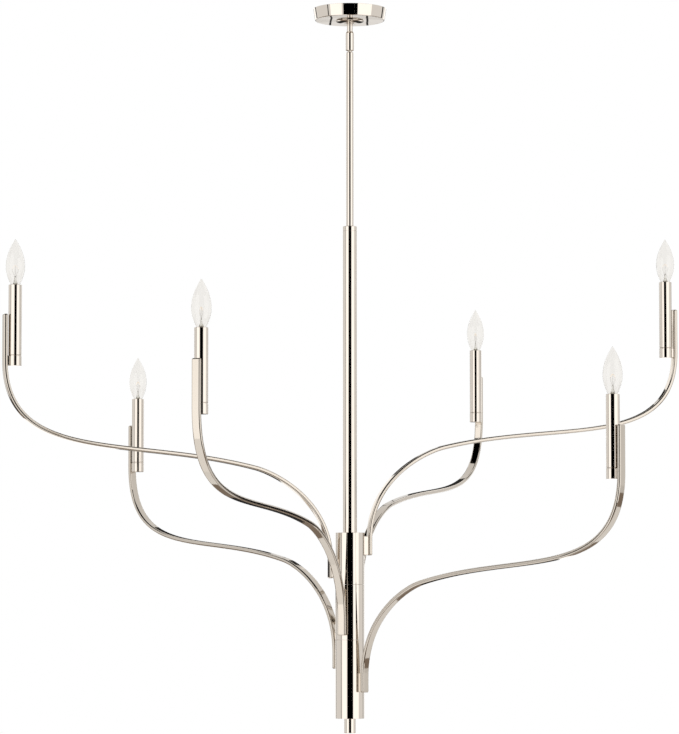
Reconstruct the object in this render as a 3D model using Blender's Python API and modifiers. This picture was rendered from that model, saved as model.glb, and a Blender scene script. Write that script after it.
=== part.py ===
"""Six-arm candle chandelier with a rigid stem, modelled from its ceiling plane down.

Units are metres and +Z is up. The origin is the centre of the canopy's rim, on the ceiling.
Every separate piece of the real fixture is one closed object. Three hub collars, stacked on one
pipe, each carry an opposite pair of S-bent arms, and every arm ends in a candle.
"""
import math

import bmesh
import bpy
from mathutils import Matrix, Vector

# ----------------------------------------------------------------------------- clearances
SEAT_GAP = 0.0003          # between two pieces that rest on each other
RUN_GAP = 0.0003           # radial, between a piece and the shaft or bore it turns on
PLUG_GAP = 0.0004          # radial, between a plug and the tube it sits in

# ----------------------------------------------------------------------------- ceiling parts
CANOPY_RIM_R = 0.0635
CANOPY_FOOT_R = 0.0605
CANOPY_DEPTH = 0.0204
CANOPY_WALL = 0.0012
CANOPY_CORNER = 0.0015
COLLAR_R = 0.024
COLLAR_EDGE = 0.0012
COLLAR_DOME = 0.0053
COLLAR_HUB_R = 0.0078
CROSSBAR_LENGTH = 0.104
CROSSBAR_WIDTH = 0.022
CROSSBAR_THICKNESS = 0.002
BOX_SCREW_SPACING = 0.0889
BOX_SCREW_R = 0.0020
BOX_SCREW_HEAD_R = 0.0040
BOX_SCREW_HEAD_H = 0.0024
GROUND_SCREW_X = 0.026
NIPPLE_R = 0.00515
NIPPLE_WALL = 0.00165
LOCK_NUT_FLATS = 0.014
LOCK_NUT_HEIGHT = 0.0035

# ----------------------------------------------------------------------------- swivel and rod
SWIVEL_TOP_Z = -0.0401
SWIVEL_HEIGHT = 0.0336
SWIVEL_R = 0.00725
SWIVEL_CHAMFER = 0.0022
SWIVEL_BOTTOM_ROUND = 0.0020
NIPPLE_GRIP = 0.007        # how far the nipple reaches into the swivel
BALL_R = 0.0054
SWIVEL_LEAD_IN = 0.0004    # chamfer round the nipple's hole
BALL_HEADROOM = 0.0015     # clear space above the ball
BALL_ABOVE_MOUTH = 0.0042  # ball centre above the swivel's lower face
MOUTH_R = 0.0050
STUD_NECK_R = 0.0035
STUD_BORE_R = 0.0016
NECK_HEIGHT = 0.0022       # bare neck between the swivel and the rod
ROD_R = 0.00635
ROD_WALL = 0.00185
ROD_LENGTH = 0.3048
ROD_ROUND = 0.0012
PLUG_LENGTH = 0.014        # how far a plug reaches into a tube

# ----------------------------------------------------------------------------- centre column
TUBE_R = 0.0122
TUBE_WALL = 0.0014
TUBE_CAP_HEIGHT = 0.008
TUBE_LENGTH = 0.5226
TUBE_EDGE = 0.0005
PIPE_R = 0.00635
PIPE_WALL = 0.00155
HUB_NUT_FLATS = 0.0165
HUB_NUT_HEIGHT = 0.006
HUB_R = 0.025
HUB_WALL = 0.0025
HUB_PLATE = 0.004
HUB_UPPER_HEIGHT = 0.0891
HUB_MIDDLE_HEIGHT = 0.0947
HUB_LOWER_HEIGHT = 0.1346
FINIAL_R = 0.0100
FINIAL_HEIGHT = 0.0247
FINIAL_CHAMFER = 0.0006
PIPE_GRIP = 0.012          # how far the pipe reaches into the finial

# ----------------------------------------------------------------------------- arms
BAR_THICKNESS = 0.0070     # in the plane of the bend
BAR_WIDTH = 0.0150
BAR_CHAMFER = 0.0009
PAD_DEPTH = 0.0070         # welded pad that holds the bar off its hub
PAD_WIDTH = 0.0090
PAD_HEIGHT = 0.0320
PAIR_STAGGER = 0.0394      # the second arm of a pair sits this much lower
FOOT_STRAIGHT = 0.0265
FOOT_HANDLE = 0.1080
WAIST_REACH = 0.1365       # from the foot's centre line out to the point between the two bends
WAIST_RISE = 0.1883
WAIST_SLOPE = 0.24
WAIST_HANDLE_IN = 0.0350
WAIST_HANDLE_OUT = 0.2284
TIP_REACH = 0.5775         # from the foot's centre line out to the tip's centre line
TIP_HANDLE = 0.1804
TIP_STRAIGHT_RISE = 0.3647
TIP_RISE = 0.4410
STRAIGHT_HANDLE = 0.001    # short curve handle that keeps a run straight
BEND_STEPS = 14

# ----------------------------------------------------------------------------- candles
CANDLE_RISE = 0.3540       # cup's underside above the arm's foot
CANDLE_GAP = 0.0024        # clear space between the sleeve and the bar
SLEEVE_R = 0.0111
SLEEVE_WALL = 0.0010
CUP_LIP = 0.0002           # the cup's rim stands this far outside the sleeve
CUP_HEIGHT = 0.0182
CUP_SPIGOT_H = 0.003
CUP_EDGE = 0.0004
CUP_BRIDGE_WIDTH = 0.009
CANDLE_HEIGHT = 0.1360     # cup's underside to the sleeve's top
SOCKET_POST_R = 0.0050
SOCKET_WALL = 0.0020
SOCKET_BODY_H = 0.0360
SOCKET_BORE_DEPTH = 0.0210
SOCKET_BELOW_RIM = 0.0040  # socket's top below the sleeve's top
BULB_BASE_R = 0.0059
BULB_BASE_H = 0.0165
BULB_TIP_R = 0.0030        # contact button
BULB_TIP_H = 0.0030
BULB_NECK_R = 0.0066
BULB_BELLY_R = 0.0161
BULB_BELLY_RISE = 0.0306   # above the sleeve's top
BULB_TIP_RISE = 0.0766
BULB_WALL = 0.0009
BULB_TIP_HANDLE = Vector((0.0065, -0.0100))
BULB_BELLY_UP = 0.0210
BULB_BELLY_DOWN = 0.0160
BULB_NECK_HANDLE = Vector((0.0020, 0.0080))

SEGMENTS_LARGE = 32
SEGMENTS = 24
SEGMENTS_SMALL = 16
SEGMENTS_GLASS = 14

HUBS = (
    # name, height, direction in degrees from +X, degrees by which each arm stands off the line
    # through the hub in that direction, first arm's foot below the hub's top
    ("hub_upper", HUB_UPPER_HEIGHT, 19.25, 0.75, 0.0391),
    ("hub_middle", HUB_MIDDLE_HEIGHT, 66.7, 0.3, 0.0476),
    ("hub_lower", HUB_LOWER_HEIGHT, 133.3, 1.7, 0.0502),
)

# ----------------------------------------------------------------------------- derived places
CANOPY_HOLE_R = NIPPLE_R + 2 * RUN_GAP
NIPPLE_BORE_R = NIPPLE_R - NIPPLE_WALL
ROD_BORE_R = ROD_R - ROD_WALL
TUBE_BORE_R = TUBE_R - TUBE_WALL
PIPE_BORE_R = PIPE_R - PIPE_WALL
COLLAR_TOP_Z = -CANOPY_DEPTH - SEAT_GAP
SWIVEL_BOTTOM_Z = SWIVEL_TOP_Z - SWIVEL_HEIGHT
BALL_Z = SWIVEL_BOTTOM_Z + BALL_ABOVE_MOUTH
ROD_TOP_Z = SWIVEL_BOTTOM_Z - NECK_HEIGHT
ROD_BOTTOM_Z = ROD_TOP_Z - ROD_LENGTH
CAP_TOP_Z = ROD_BOTTOM_Z - SEAT_GAP
TUBE_TOP_Z = CAP_TOP_Z - TUBE_CAP_HEIGHT - SEAT_GAP
TUBE_BOTTOM_Z = TUBE_TOP_Z - TUBE_LENGTH
HUB_TOP_Z = TUBE_BOTTOM_Z - SEAT_GAP
HUB_STACK = sum(hub[1] for hub in HUBS) + SEAT_GAP * (len(HUBS) - 1)
FINIAL_TOP_Z = HUB_TOP_Z - HUB_STACK - SEAT_GAP
HUB_BORE_R = PIPE_R + RUN_GAP
BAR_INNER_R = HUB_R + PAD_DEPTH
FOOT_R = BAR_INNER_R + BAR_THICKNESS / 2
TIP_R = FOOT_R + TIP_REACH
SLEEVE_BORE_R = SLEEVE_R - SLEEVE_WALL
CUP_R = SLEEVE_R + CUP_LIP
SOCKET_BORE_R = BULB_BASE_R + 2 * RUN_GAP
SOCKET_BODY_R = SOCKET_BORE_R + SOCKET_WALL
CANDLE_R = TIP_R - BAR_THICKNESS / 2 - CANDLE_GAP - SLEEVE_R
UP = Vector((0.0, 1.0))
WAIST = Vector((FOOT_R + WAIST_REACH, WAIST_RISE))
WAIST_ALONG = Vector((1.0, WAIST_SLOPE)).normalized()
TIP_BEND = Vector((TIP_R, TIP_STRAIGHT_RISE))


# ----------------------------------------------------------------------------- modelling helpers
def clear_scene():
    for obj in list(bpy.data.objects):
        bpy.data.objects.remove(obj, do_unlink=True)


def new_collection(name):
    collection = bpy.data.collections.new(name)
    bpy.context.scene.collection.children.link(collection)
    return collection


def new_material(name, colour, metallic, roughness, transmission=0.0):
    material = bpy.data.materials.new(name)
    material.use_nodes = True
    shader = material.node_tree.nodes["Principled BSDF"]
    shader.inputs["Base Color"].default_value = (*colour, 1.0)
    shader.inputs["Metallic"].default_value = metallic
    shader.inputs["Roughness"].default_value = roughness
    shader.inputs["Transmission Weight"].default_value = transmission
    return material


def empty(name, location=(0.0, 0.0, 0.0), turn=0.0, parent=None):
    frame = bpy.data.objects.new(name, None)
    PARTS.objects.link(frame)
    frame.parent = parent
    frame.location = location
    frame.rotation_euler.z = turn
    return frame


def place(name, mesh, finish, parent, location=(0.0, 0.0, 0.0), turn=0.0):
    """Make a named piece from a mesh, with its own copy of a finish."""
    obj = bpy.data.objects.new(name, mesh)
    PARTS.objects.link(obj)
    obj.parent = parent
    obj.location = location
    obj.rotation_euler.z = turn
    material = finish.copy()
    material.name = name
    obj.data.materials.clear()
    obj.data.materials.append(None)
    obj.material_slots[0].link = "OBJECT"
    obj.material_slots[0].material = material
    return obj


def as_cutter(obj):
    """Move a helper solid to the guides, out of the finished part."""
    for collection in list(obj.users_collection):
        collection.objects.unlink(obj)
    GUIDES.objects.link(obj)
    obj.hide_render = True
    obj.display_type = "WIRE"
    return obj


def finished_mesh(obj, name):
    """The object's mesh with its modifiers applied and its loose edges welded."""
    bpy.context.view_layer.update()
    depsgraph = bpy.context.evaluated_depsgraph_get()
    mesh = bpy.data.meshes.new_from_object(obj.evaluated_get(depsgraph))
    mesh.name = name
    work = bmesh.new()
    work.from_mesh(mesh)
    bmesh.ops.remove_doubles(work, verts=work.verts, dist=1e-6)
    work.to_mesh(mesh)
    work.free()
    return mesh


def smooth(mesh):
    mesh.shade_smooth()
    mesh.set_sharp_from_angle(angle=math.radians(35))
    return mesh


def turned_guide(name, profile, segments, closed):
    """A profile of (radius, height) points turned about Z; it runs down its outer side."""
    mesh = bpy.data.meshes.new(name)
    edges = [(i, i + 1) for i in range(len(profile) - 1)]
    if closed:
        edges.append((len(profile) - 1, 0))
    mesh.from_pydata([(r, 0.0, z) for r, z in profile], edges, [])
    obj = bpy.data.objects.new(name, mesh)
    GUIDES.objects.link(obj)
    obj.hide_render = True
    obj.display_type = "WIRE"
    screw = obj.modifiers.new("turn", "SCREW")
    screw.steps = segments
    screw.render_steps = segments
    screw.use_merge_vertices = True
    screw.merge_threshold = 1e-6
    screw.use_normal_calculate = False
    return obj


def turned_mesh(name, profile, segments=SEGMENTS, closed=True):
    guide = turned_guide(name, profile, segments, closed)
    mesh = smooth(finished_mesh(guide, name))
    bpy.data.objects.remove(guide, do_unlink=True)
    return mesh


def block_guide(name, size, centre):
    bpy.ops.mesh.primitive_cube_add(size=1.0, location=centre)
    obj = bpy.context.object
    obj.name = name
    obj.data.transform(Matrix.Diagonal((*size, 1.0)))
    return as_cutter(obj)


def hex_guide(name, flats, height, centre):
    bpy.ops.mesh.primitive_cylinder_add(
        vertices=6, radius=flats / math.sqrt(3), depth=height, location=centre)
    obj = bpy.context.object
    obj.name = name
    return as_cutter(obj)


def rod_guide(name, radius, height, centre, segments=SEGMENTS):
    bpy.ops.mesh.primitive_cylinder_add(
        vertices=segments, radius=radius, depth=height, location=centre)
    obj = bpy.context.object
    obj.name = name
    return as_cutter(obj)


def combine(name, base, operations):
    """Apply Booleans to a guide solid and return the finished mesh."""
    for operation, tool in operations:
        modifier = base.modifiers.new(operation.lower(), "BOOLEAN")
        modifier.operation = operation
        modifier.solver = "EXACT"
        modifier.object = tool
    mesh = finished_mesh(base, name)
    mesh.transform(base.matrix_world)
    for obj in [base] + [tool for _, tool in operations]:
        bpy.data.objects.remove(obj, do_unlink=True)
    return smooth(mesh)


def bezier(start, handle_a, handle_b, end, steps):
    """Points of one cubic span, its start left out."""
    points = []
    for i in range(1, steps + 1):
        t = i / steps
        s = 1.0 - t
        points.append(start * s ** 3 + handle_a * 3 * s * s * t
                      + handle_b * 3 * s * t * t + end * t ** 3)
    return points


# ----------------------------------------------------------------------------- ceiling pieces
def canopy_profile():
    foot = CANOPY_FOOT_R
    corner = CANOPY_CORNER
    wall = CANOPY_WALL
    outer = [(CANOPY_RIM_R, 0.0)]
    for i in range(4):
        angle = math.radians(30 * i)
        outer.append((foot - corner + corner * math.cos(angle),
                      -CANOPY_DEPTH + corner - corner * math.sin(angle)))
    inner = [(CANOPY_HOLE_R, -CANOPY_DEPTH), (CANOPY_HOLE_R, -CANOPY_DEPTH + wall),
             (foot - wall, -CANOPY_DEPTH + wall), (CANOPY_RIM_R - wall, 0.0)]
    return outer + inner


def collar_profile():
    """A low dome: flat on top, thin at its edge, with a short hub round the nipple."""
    dome = bezier(Vector((COLLAR_R, COLLAR_TOP_Z - COLLAR_EDGE)),
                  Vector((COLLAR_R * 0.86, COLLAR_TOP_Z - COLLAR_DOME * 0.62)),
                  Vector((COLLAR_R * 0.60, COLLAR_TOP_Z - COLLAR_DOME * 0.80)),
                  Vector((COLLAR_HUB_R, COLLAR_TOP_Z - COLLAR_DOME * 0.86)), 5)
    bottom = COLLAR_TOP_Z - COLLAR_DOME
    return ([(COLLAR_R, COLLAR_TOP_Z), (COLLAR_R, COLLAR_TOP_Z - COLLAR_EDGE)]
            + [tuple(point) for point in dome]
            + [(COLLAR_HUB_R, bottom), (CANOPY_HOLE_R, bottom), (CANOPY_HOLE_R, COLLAR_TOP_Z)])


def crossbar_mesh():
    bar = block_guide("crossbar_blank", (CROSSBAR_LENGTH, CROSSBAR_WIDTH, CROSSBAR_THICKNESS),
                      (0.0, 0.0, -CROSSBAR_THICKNESS / 2))
    drill_depth = CROSSBAR_THICKNESS * 3
    half = BOX_SCREW_SPACING / 2
    holes = [("centre_drill", NIPPLE_R + RUN_GAP, 0.0),
             ("box_drill_a", BOX_SCREW_R + RUN_GAP, half),
             ("box_drill_b", BOX_SCREW_R + RUN_GAP, -half),
             ("ground_drill", BOX_SCREW_R + RUN_GAP, GROUND_SCREW_X)]
    cuts = [("DIFFERENCE", rod_guide(name, radius, drill_depth, (x, 0.0, 0.0), SEGMENTS_SMALL))
            for name, radius, x in holes]
    return combine("crossbar", bar, cuts)


def screw_profile():
    """A pan-head screw whose shank ends at the ceiling plane; height 0 is the plane."""
    head_top = -CROSSBAR_THICKNESS - SEAT_GAP
    head_bottom = head_top - BOX_SCREW_HEAD_H
    return [(0.0, -SEAT_GAP), (BOX_SCREW_R, -SEAT_GAP), (BOX_SCREW_R, head_top),
            (BOX_SCREW_HEAD_R, head_top), (BOX_SCREW_HEAD_R, head_top - BOX_SCREW_HEAD_H * 0.5),
            (BOX_SCREW_HEAD_R * 0.6, head_bottom), (0.0, head_bottom)]


def nut_mesh(name, flats, height, bore_r, top_z):
    centre = (0.0, 0.0, top_z - height / 2)
    return combine(name, hex_guide(name + "_blank", flats, height, centre),
                   [("DIFFERENCE", rod_guide(name + "_drill", bore_r, height * 3, centre))])


def build_ceiling_parts(root):
    place("crossbar", crossbar_mesh(), ZINC, root)
    nipple_bottom = SWIVEL_TOP_Z - NIPPLE_GRIP
    place("nipple", turned_mesh("nipple", [
        (NIPPLE_R, -SEAT_GAP), (NIPPLE_R, nipple_bottom),
        (NIPPLE_BORE_R, nipple_bottom), (NIPPLE_BORE_R, -SEAT_GAP)]), NICKEL, root)
    place("nipple_lock_nut", nut_mesh("nipple_lock_nut", LOCK_NUT_FLATS, LOCK_NUT_HEIGHT,
                                      NIPPLE_R + RUN_GAP, -CROSSBAR_THICKNESS - SEAT_GAP), ZINC, root)
    screw = turned_mesh("machine_screw", screw_profile(), SEGMENTS_SMALL, closed=False)
    place("box_screw_1", screw, ZINC, root, (BOX_SCREW_SPACING / 2, 0.0, 0.0))
    place("box_screw_2", screw, ZINC, root, (-BOX_SCREW_SPACING / 2, 0.0, 0.0))
    place("ground_screw", screw.copy(), GREEN_ZINC, root, (GROUND_SCREW_X, 0.0, 0.0))
    place("canopy", turned_mesh("canopy", canopy_profile(), SEGMENTS_LARGE), NICKEL, root)
    place("canopy_collar", turned_mesh("canopy_collar", collar_profile(), SEGMENTS_LARGE), NICKEL, root)


# ----------------------------------------------------------------------------- swivel, rod and column
def swivel_profile():
    """Sleeve with a threaded socket for the nipple, a wire way, and a ball seat open below."""
    nipple_seat = SWIVEL_TOP_Z - NIPPLE_GRIP - SEAT_GAP
    cavity_r = BALL_R + RUN_GAP
    wire_z = BALL_Z + cavity_r + BALL_HEADROOM
    lip_r = SWIVEL_R - SWIVEL_BOTTOM_ROUND
    mouth_top_z = SWIVEL_TOP_Z - SWIVEL_LEAD_IN
    seat_drop = math.sqrt(cavity_r ** 2 - MOUTH_R ** 2)
    profile = [(NIPPLE_R + RUN_GAP + SWIVEL_LEAD_IN, SWIVEL_TOP_Z),
               (SWIVEL_R, SWIVEL_TOP_Z - SWIVEL_CHAMFER)]
    for i in range(4):
        angle = math.radians(30 * i)
        profile.append((lip_r + SWIVEL_BOTTOM_ROUND * math.cos(angle),
                        SWIVEL_BOTTOM_Z + SWIVEL_BOTTOM_ROUND * (1 - math.sin(angle))))
    profile.append((MOUTH_R, SWIVEL_BOTTOM_Z))
    for i in range(4):
        z = -seat_drop + i * seat_drop / 3
        profile.append((math.sqrt(cavity_r ** 2 - z * z), BALL_Z + z))
    profile += [(cavity_r, wire_z), (NIPPLE_BORE_R, wire_z), (NIPPLE_BORE_R, nipple_seat),
                (NIPPLE_R + RUN_GAP, nipple_seat), (NIPPLE_R + RUN_GAP, mouth_top_z)]
    return profile


def stud_profile():
    """Ball, bare neck and the plug that fills the rod's top; a wire way runs through it."""
    neck_angle = math.asin(STUD_NECK_R / BALL_R)
    top_angle = math.asin(STUD_BORE_R / BALL_R)
    steps = 8
    profile = []
    for i in range(steps + 1):
        angle = top_angle + (math.pi - neck_angle - top_angle) * i / steps
        profile.append((BALL_R * math.sin(angle), BALL_Z + BALL_R * math.cos(angle)))
    plug_r = ROD_BORE_R - PLUG_GAP
    flange_z = ROD_TOP_Z + 2 * SEAT_GAP
    profile += [(STUD_NECK_R, flange_z), (plug_r, flange_z - SEAT_GAP),
                (plug_r, ROD_TOP_Z - PLUG_LENGTH), (STUD_BORE_R, ROD_TOP_Z - PLUG_LENGTH)]
    return profile


def tube_profile(outer_r, bore_r, top_z, bottom_z, edge):
    """A plain tube with a small chamfer on its outer edges."""
    return [(outer_r - edge, top_z), (outer_r, top_z - edge), (outer_r, bottom_z + edge),
            (outer_r - edge, bottom_z), (bore_r, bottom_z), (bore_r, top_z)]


def build_stem(stem, swivel):
    place("swivel_housing", turned_mesh("swivel_housing", swivel_profile(), SEGMENTS_SMALL), NICKEL,
          swivel, (0.0, 0.0, -BALL_Z))
    place("swivel_stud", turned_mesh("swivel_stud", stud_profile(), SEGMENTS_SMALL), NICKEL, stem,
          (0.0, 0.0, -BALL_Z))
    place("rod", turned_mesh("rod", tube_profile(ROD_R, ROD_BORE_R, ROD_TOP_Z, ROD_BOTTOM_Z, ROD_ROUND)),
          NICKEL, stem, (0.0, 0.0, -BALL_Z))

    coupler_r = ROD_BORE_R - PLUG_GAP
    coupler_bottom = TUBE_TOP_Z - PLUG_LENGTH
    place("rod_coupler", turned_mesh("rod_coupler", tube_profile(
        coupler_r, STUD_BORE_R, ROD_BOTTOM_Z + PLUG_LENGTH, coupler_bottom, TUBE_EDGE),
        SEGMENTS_SMALL), BRASS, stem, (0.0, 0.0, -BALL_Z))

    cap_bottom = CAP_TOP_Z - TUBE_CAP_HEIGHT
    cap_bore = coupler_r + PLUG_GAP
    spigot_r = TUBE_BORE_R - PLUG_GAP
    spigot_bottom = cap_bottom - PLUG_LENGTH / 2
    pipe_top = spigot_bottom + PLUG_LENGTH / 4
    place("tube_cap", turned_mesh("tube_cap", [
        (TUBE_R - TUBE_EDGE, CAP_TOP_Z), (TUBE_R, CAP_TOP_Z - TUBE_EDGE), (TUBE_R, cap_bottom),
        (spigot_r, cap_bottom), (spigot_r, spigot_bottom), (PIPE_R + PLUG_GAP, spigot_bottom),
        (PIPE_R + PLUG_GAP, pipe_top + SEAT_GAP), (cap_bore, pipe_top + SEAT_GAP), (cap_bore, CAP_TOP_Z)]),
        NICKEL, stem, (0.0, 0.0, -BALL_Z))
    place("centre_tube", turned_mesh("centre_tube", [
        (TUBE_R, TUBE_TOP_Z), (TUBE_R, TUBE_BOTTOM_Z), (TUBE_BORE_R, TUBE_BOTTOM_Z),
        (TUBE_BORE_R, TUBE_TOP_Z)]), NICKEL, stem, (0.0, 0.0, -BALL_Z))
    pipe_bottom = FINIAL_TOP_Z - PIPE_GRIP
    place("inner_pipe", turned_mesh("inner_pipe", [
        (PIPE_R, pipe_top), (PIPE_R, pipe_bottom), (PIPE_BORE_R, pipe_bottom), (PIPE_BORE_R, pipe_top)]),
        ZINC, stem, (0.0, 0.0, -BALL_Z))
    place("hub_nut", nut_mesh("hub_nut", HUB_NUT_FLATS, HUB_NUT_HEIGHT, HUB_BORE_R,
                              HUB_TOP_Z + SEAT_GAP + HUB_NUT_HEIGHT), ZINC, stem, (0.0, 0.0, -BALL_Z))


def build_finial(stem):
    top = 0.0
    bottom = -FINIAL_HEIGHT
    seat = -PIPE_GRIP - 2 * SEAT_GAP
    edge = FINIAL_CHAMFER
    place("finial", turned_mesh("finial", [
        (0.0, seat), (HUB_BORE_R, seat), (HUB_BORE_R, top), (FINIAL_R - edge, top),
        (FINIAL_R, top - edge), (FINIAL_R, bottom + edge), (FINIAL_R - edge, bottom), (0.0, bottom)],
        closed=False), NICKEL, stem, (0.0, 0.0, FINIAL_TOP_Z - BALL_Z))


# ----------------------------------------------------------------------------- hubs and arms
def hub_profile(height):
    """A hollow drum: two bored plates joined by a wall, its top at height 0."""
    inner = HUB_R - HUB_WALL
    return [(HUB_R, 0.0), (HUB_R, -height), (HUB_BORE_R, -height), (HUB_BORE_R, HUB_PLATE - height),
            (inner, HUB_PLATE - height), (inner, -HUB_PLATE), (HUB_BORE_R, -HUB_PLATE), (HUB_BORE_R, 0.0)]


def arm_mesh():
    """The S-bent bar in its own frame: +X outward, +Z up, the hub axis and the bar's foot at 0."""
    curve = bpy.data.curves.new("arm_path", "CURVE")
    curve.dimensions = "2D"
    curve.fill_mode = "NONE"
    curve.extrude = BAR_WIDTH / 2
    curve.resolution_u = BEND_STEPS
    stub = UP * STRAIGHT_HANDLE
    knots = [
        (Vector((FOOT_R, 0.0)), -stub, stub),
        (Vector((FOOT_R, FOOT_STRAIGHT)), -stub, UP * FOOT_HANDLE),
        (WAIST, -WAIST_ALONG * WAIST_HANDLE_IN, WAIST_ALONG * WAIST_HANDLE_OUT),
        (TIP_BEND, -UP * TIP_HANDLE, stub),
        (Vector((TIP_R, TIP_RISE)), -stub, stub),
    ]
    spline = curve.splines.new("BEZIER")
    spline.bezier_points.add(len(knots) - 1)
    for point, (place_at, left, right) in zip(spline.bezier_points, knots):
        point.handle_left_type = "FREE"
        point.handle_right_type = "FREE"
        point.co = (*place_at, 0.0)
        point.handle_left = (*(place_at + left), 0.0)
        point.handle_right = (*(place_at + right), 0.0)
    path = bpy.data.objects.new("arm_path", curve)
    GUIDES.objects.link(path)
    ribbon = finished_mesh(path, "arm_ribbon")
    bpy.data.objects.remove(path, do_unlink=True)
    remove_straight_steps(ribbon)

    bar = bpy.data.objects.new("arm_bar", ribbon)
    GUIDES.objects.link(bar)
    thick = bar.modifiers.new("thickness", "SOLIDIFY")
    thick.thickness = BAR_THICKNESS
    thick.offset = 0.0
    thick.use_even_offset = True
    edges = bar.modifiers.new("edges", "BEVEL")
    edges.width = BAR_CHAMFER
    edges.segments = 1
    edges.limit_method = "ANGLE"
    edges.angle_limit = math.radians(50)
    mesh = finished_mesh(bar, "arm")
    bpy.data.objects.remove(bar, do_unlink=True)
    mesh.transform(Matrix.Rotation(math.radians(90), 4, "X"))

    body = bpy.data.objects.new("arm_body", mesh)
    GUIDES.objects.link(body)
    weld_depth = BAR_THICKNESS / 2
    pad_inner = HUB_R + SEAT_GAP
    pad_outer = BAR_INNER_R + weld_depth
    pad = block_guide("arm_pad", (pad_outer - pad_inner, PAD_WIDTH, PAD_HEIGHT),
                      ((pad_outer + pad_inner) / 2, 0.0, PAD_HEIGHT / 2 + BAR_CHAMFER))
    return combine("arm", body, [("UNION", pad)])


def remove_straight_steps(ribbon):
    """Drop the cross rows that lie inside the two straight ends, which need none."""
    work = bmesh.new()
    work.from_mesh(ribbon)
    tolerance = 1e-5
    spare = [v for v in work.verts
             if tolerance < v.co.y < FOOT_STRAIGHT - tolerance
             or TIP_STRAIGHT_RISE + tolerance < v.co.y < TIP_RISE - tolerance]
    rows = [e for e in work.edges if e.verts[0] in spare and e.verts[1] in spare
            and abs(e.verts[0].co.z - e.verts[1].co.z) > BAR_WIDTH / 2]
    bmesh.ops.dissolve_edges(work, edges=rows, use_verts=True)
    work.to_mesh(ribbon)
    work.free()


def bar_lean_at_cup():
    """How far the faceted bar is still inside TIP_R at the height of the cup's underside."""
    bend = [WAIST] + bezier(WAIST, WAIST + WAIST_ALONG * WAIST_HANDLE_OUT,
                            TIP_BEND - UP * TIP_HANDLE, TIP_BEND, BEND_STEPS)
    for below, above in zip(bend, bend[1:]):
        if below.y <= CANDLE_RISE < above.y:
            share = (CANDLE_RISE - below.y) / (above.y - below.y)
            return TIP_R - below.lerp(above, share).x
    return 0.0


def cup_mesh():
    """The candle's cup with the short bridge to its arm; height 0 is the cup's underside."""
    edge = CUP_EDGE
    spigot_r = SLEEVE_BORE_R - PLUG_GAP
    cup = turned_guide("cup_blank", [
        (0.0, CUP_HEIGHT + CUP_SPIGOT_H), (spigot_r, CUP_HEIGHT + CUP_SPIGOT_H), (spigot_r, CUP_HEIGHT),
        (CUP_R - edge, CUP_HEIGHT), (CUP_R, CUP_HEIGHT - edge), (CUP_R, edge), (CUP_R - edge, 0.0),
        (0.0, 0.0)], SEGMENTS_SMALL, closed=False)
    bridge_start = CUP_R / 2
    bridge_end = TIP_R - bar_lean_at_cup() - CANDLE_R - BAR_THICKNESS / 2 - SEAT_GAP
    bridge = block_guide("cup_bridge", (bridge_end - bridge_start, CUP_BRIDGE_WIDTH, CUP_HEIGHT - 2 * edge),
                         ((bridge_start + bridge_end) / 2, 0.0, CUP_HEIGHT / 2))
    return combine("cup", cup, [("UNION", bridge)])


def candle_meshes():
    """Meshes of one candle, all with height 0 at the cup's underside and the candle's axis on Z."""
    post_bottom = CUP_HEIGHT + CUP_SPIGOT_H + SEAT_GAP
    socket_top = CANDLE_HEIGHT - SOCKET_BELOW_RIM
    socket_seat = socket_top - SOCKET_BORE_DEPTH
    body_bottom = socket_top - SOCKET_BODY_H
    socket = turned_mesh("socket", [
        (0.0, socket_seat), (SOCKET_BORE_R, socket_seat), (SOCKET_BORE_R, socket_top),
        (SOCKET_BODY_R, socket_top), (SOCKET_BODY_R, body_bottom), (SOCKET_POST_R, body_bottom),
        (SOCKET_POST_R, post_bottom), (0.0, post_bottom)], SEGMENTS_SMALL, closed=False)
    sleeve_bottom = CUP_HEIGHT + SEAT_GAP
    sleeve = turned_mesh("sleeve", [
        (SLEEVE_R, CANDLE_HEIGHT), (SLEEVE_R, sleeve_bottom), (SLEEVE_BORE_R, sleeve_bottom),
        (SLEEVE_BORE_R, CANDLE_HEIGHT)])
    neck_z = socket_top + SEAT_GAP
    base_top = neck_z - SEAT_GAP
    base_bottom = base_top - BULB_BASE_H
    base = turned_mesh("bulb_base", [
        (0.0, base_top), (BULB_BASE_R, base_top), (BULB_BASE_R, base_bottom + BULB_TIP_H),
        (BULB_TIP_R, base_bottom), (0.0, base_bottom)], SEGMENTS_SMALL, closed=False)
    glass = turned_mesh("bulb_glass", glass_profile(neck_z), SEGMENTS_GLASS, closed=False)
    return {"socket": socket, "sleeve": sleeve, "bulb_base": base, "bulb_glass": glass}


def glass_side(neck_z, inset):
    """One side of the glass from its tip down to its neck, drawn in by a wall's thickness."""
    tip = Vector((0.0, CANDLE_HEIGHT + BULB_TIP_RISE - inset))
    belly = Vector((BULB_BELLY_R - inset, CANDLE_HEIGHT + BULB_BELLY_RISE))
    neck = Vector((BULB_NECK_R - inset, neck_z))
    side = [tip]
    side += bezier(tip, tip + BULB_TIP_HANDLE, belly + UP * BULB_BELLY_UP, belly, 5)
    side += bezier(belly, belly - UP * BULB_BELLY_DOWN, neck + BULB_NECK_HANDLE, neck, 4)
    return [tuple(point) for point in side]


def glass_profile(neck_z):
    return glass_side(neck_z, 0.0) + list(reversed(glass_side(neck_z, BULB_WALL)))


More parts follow.
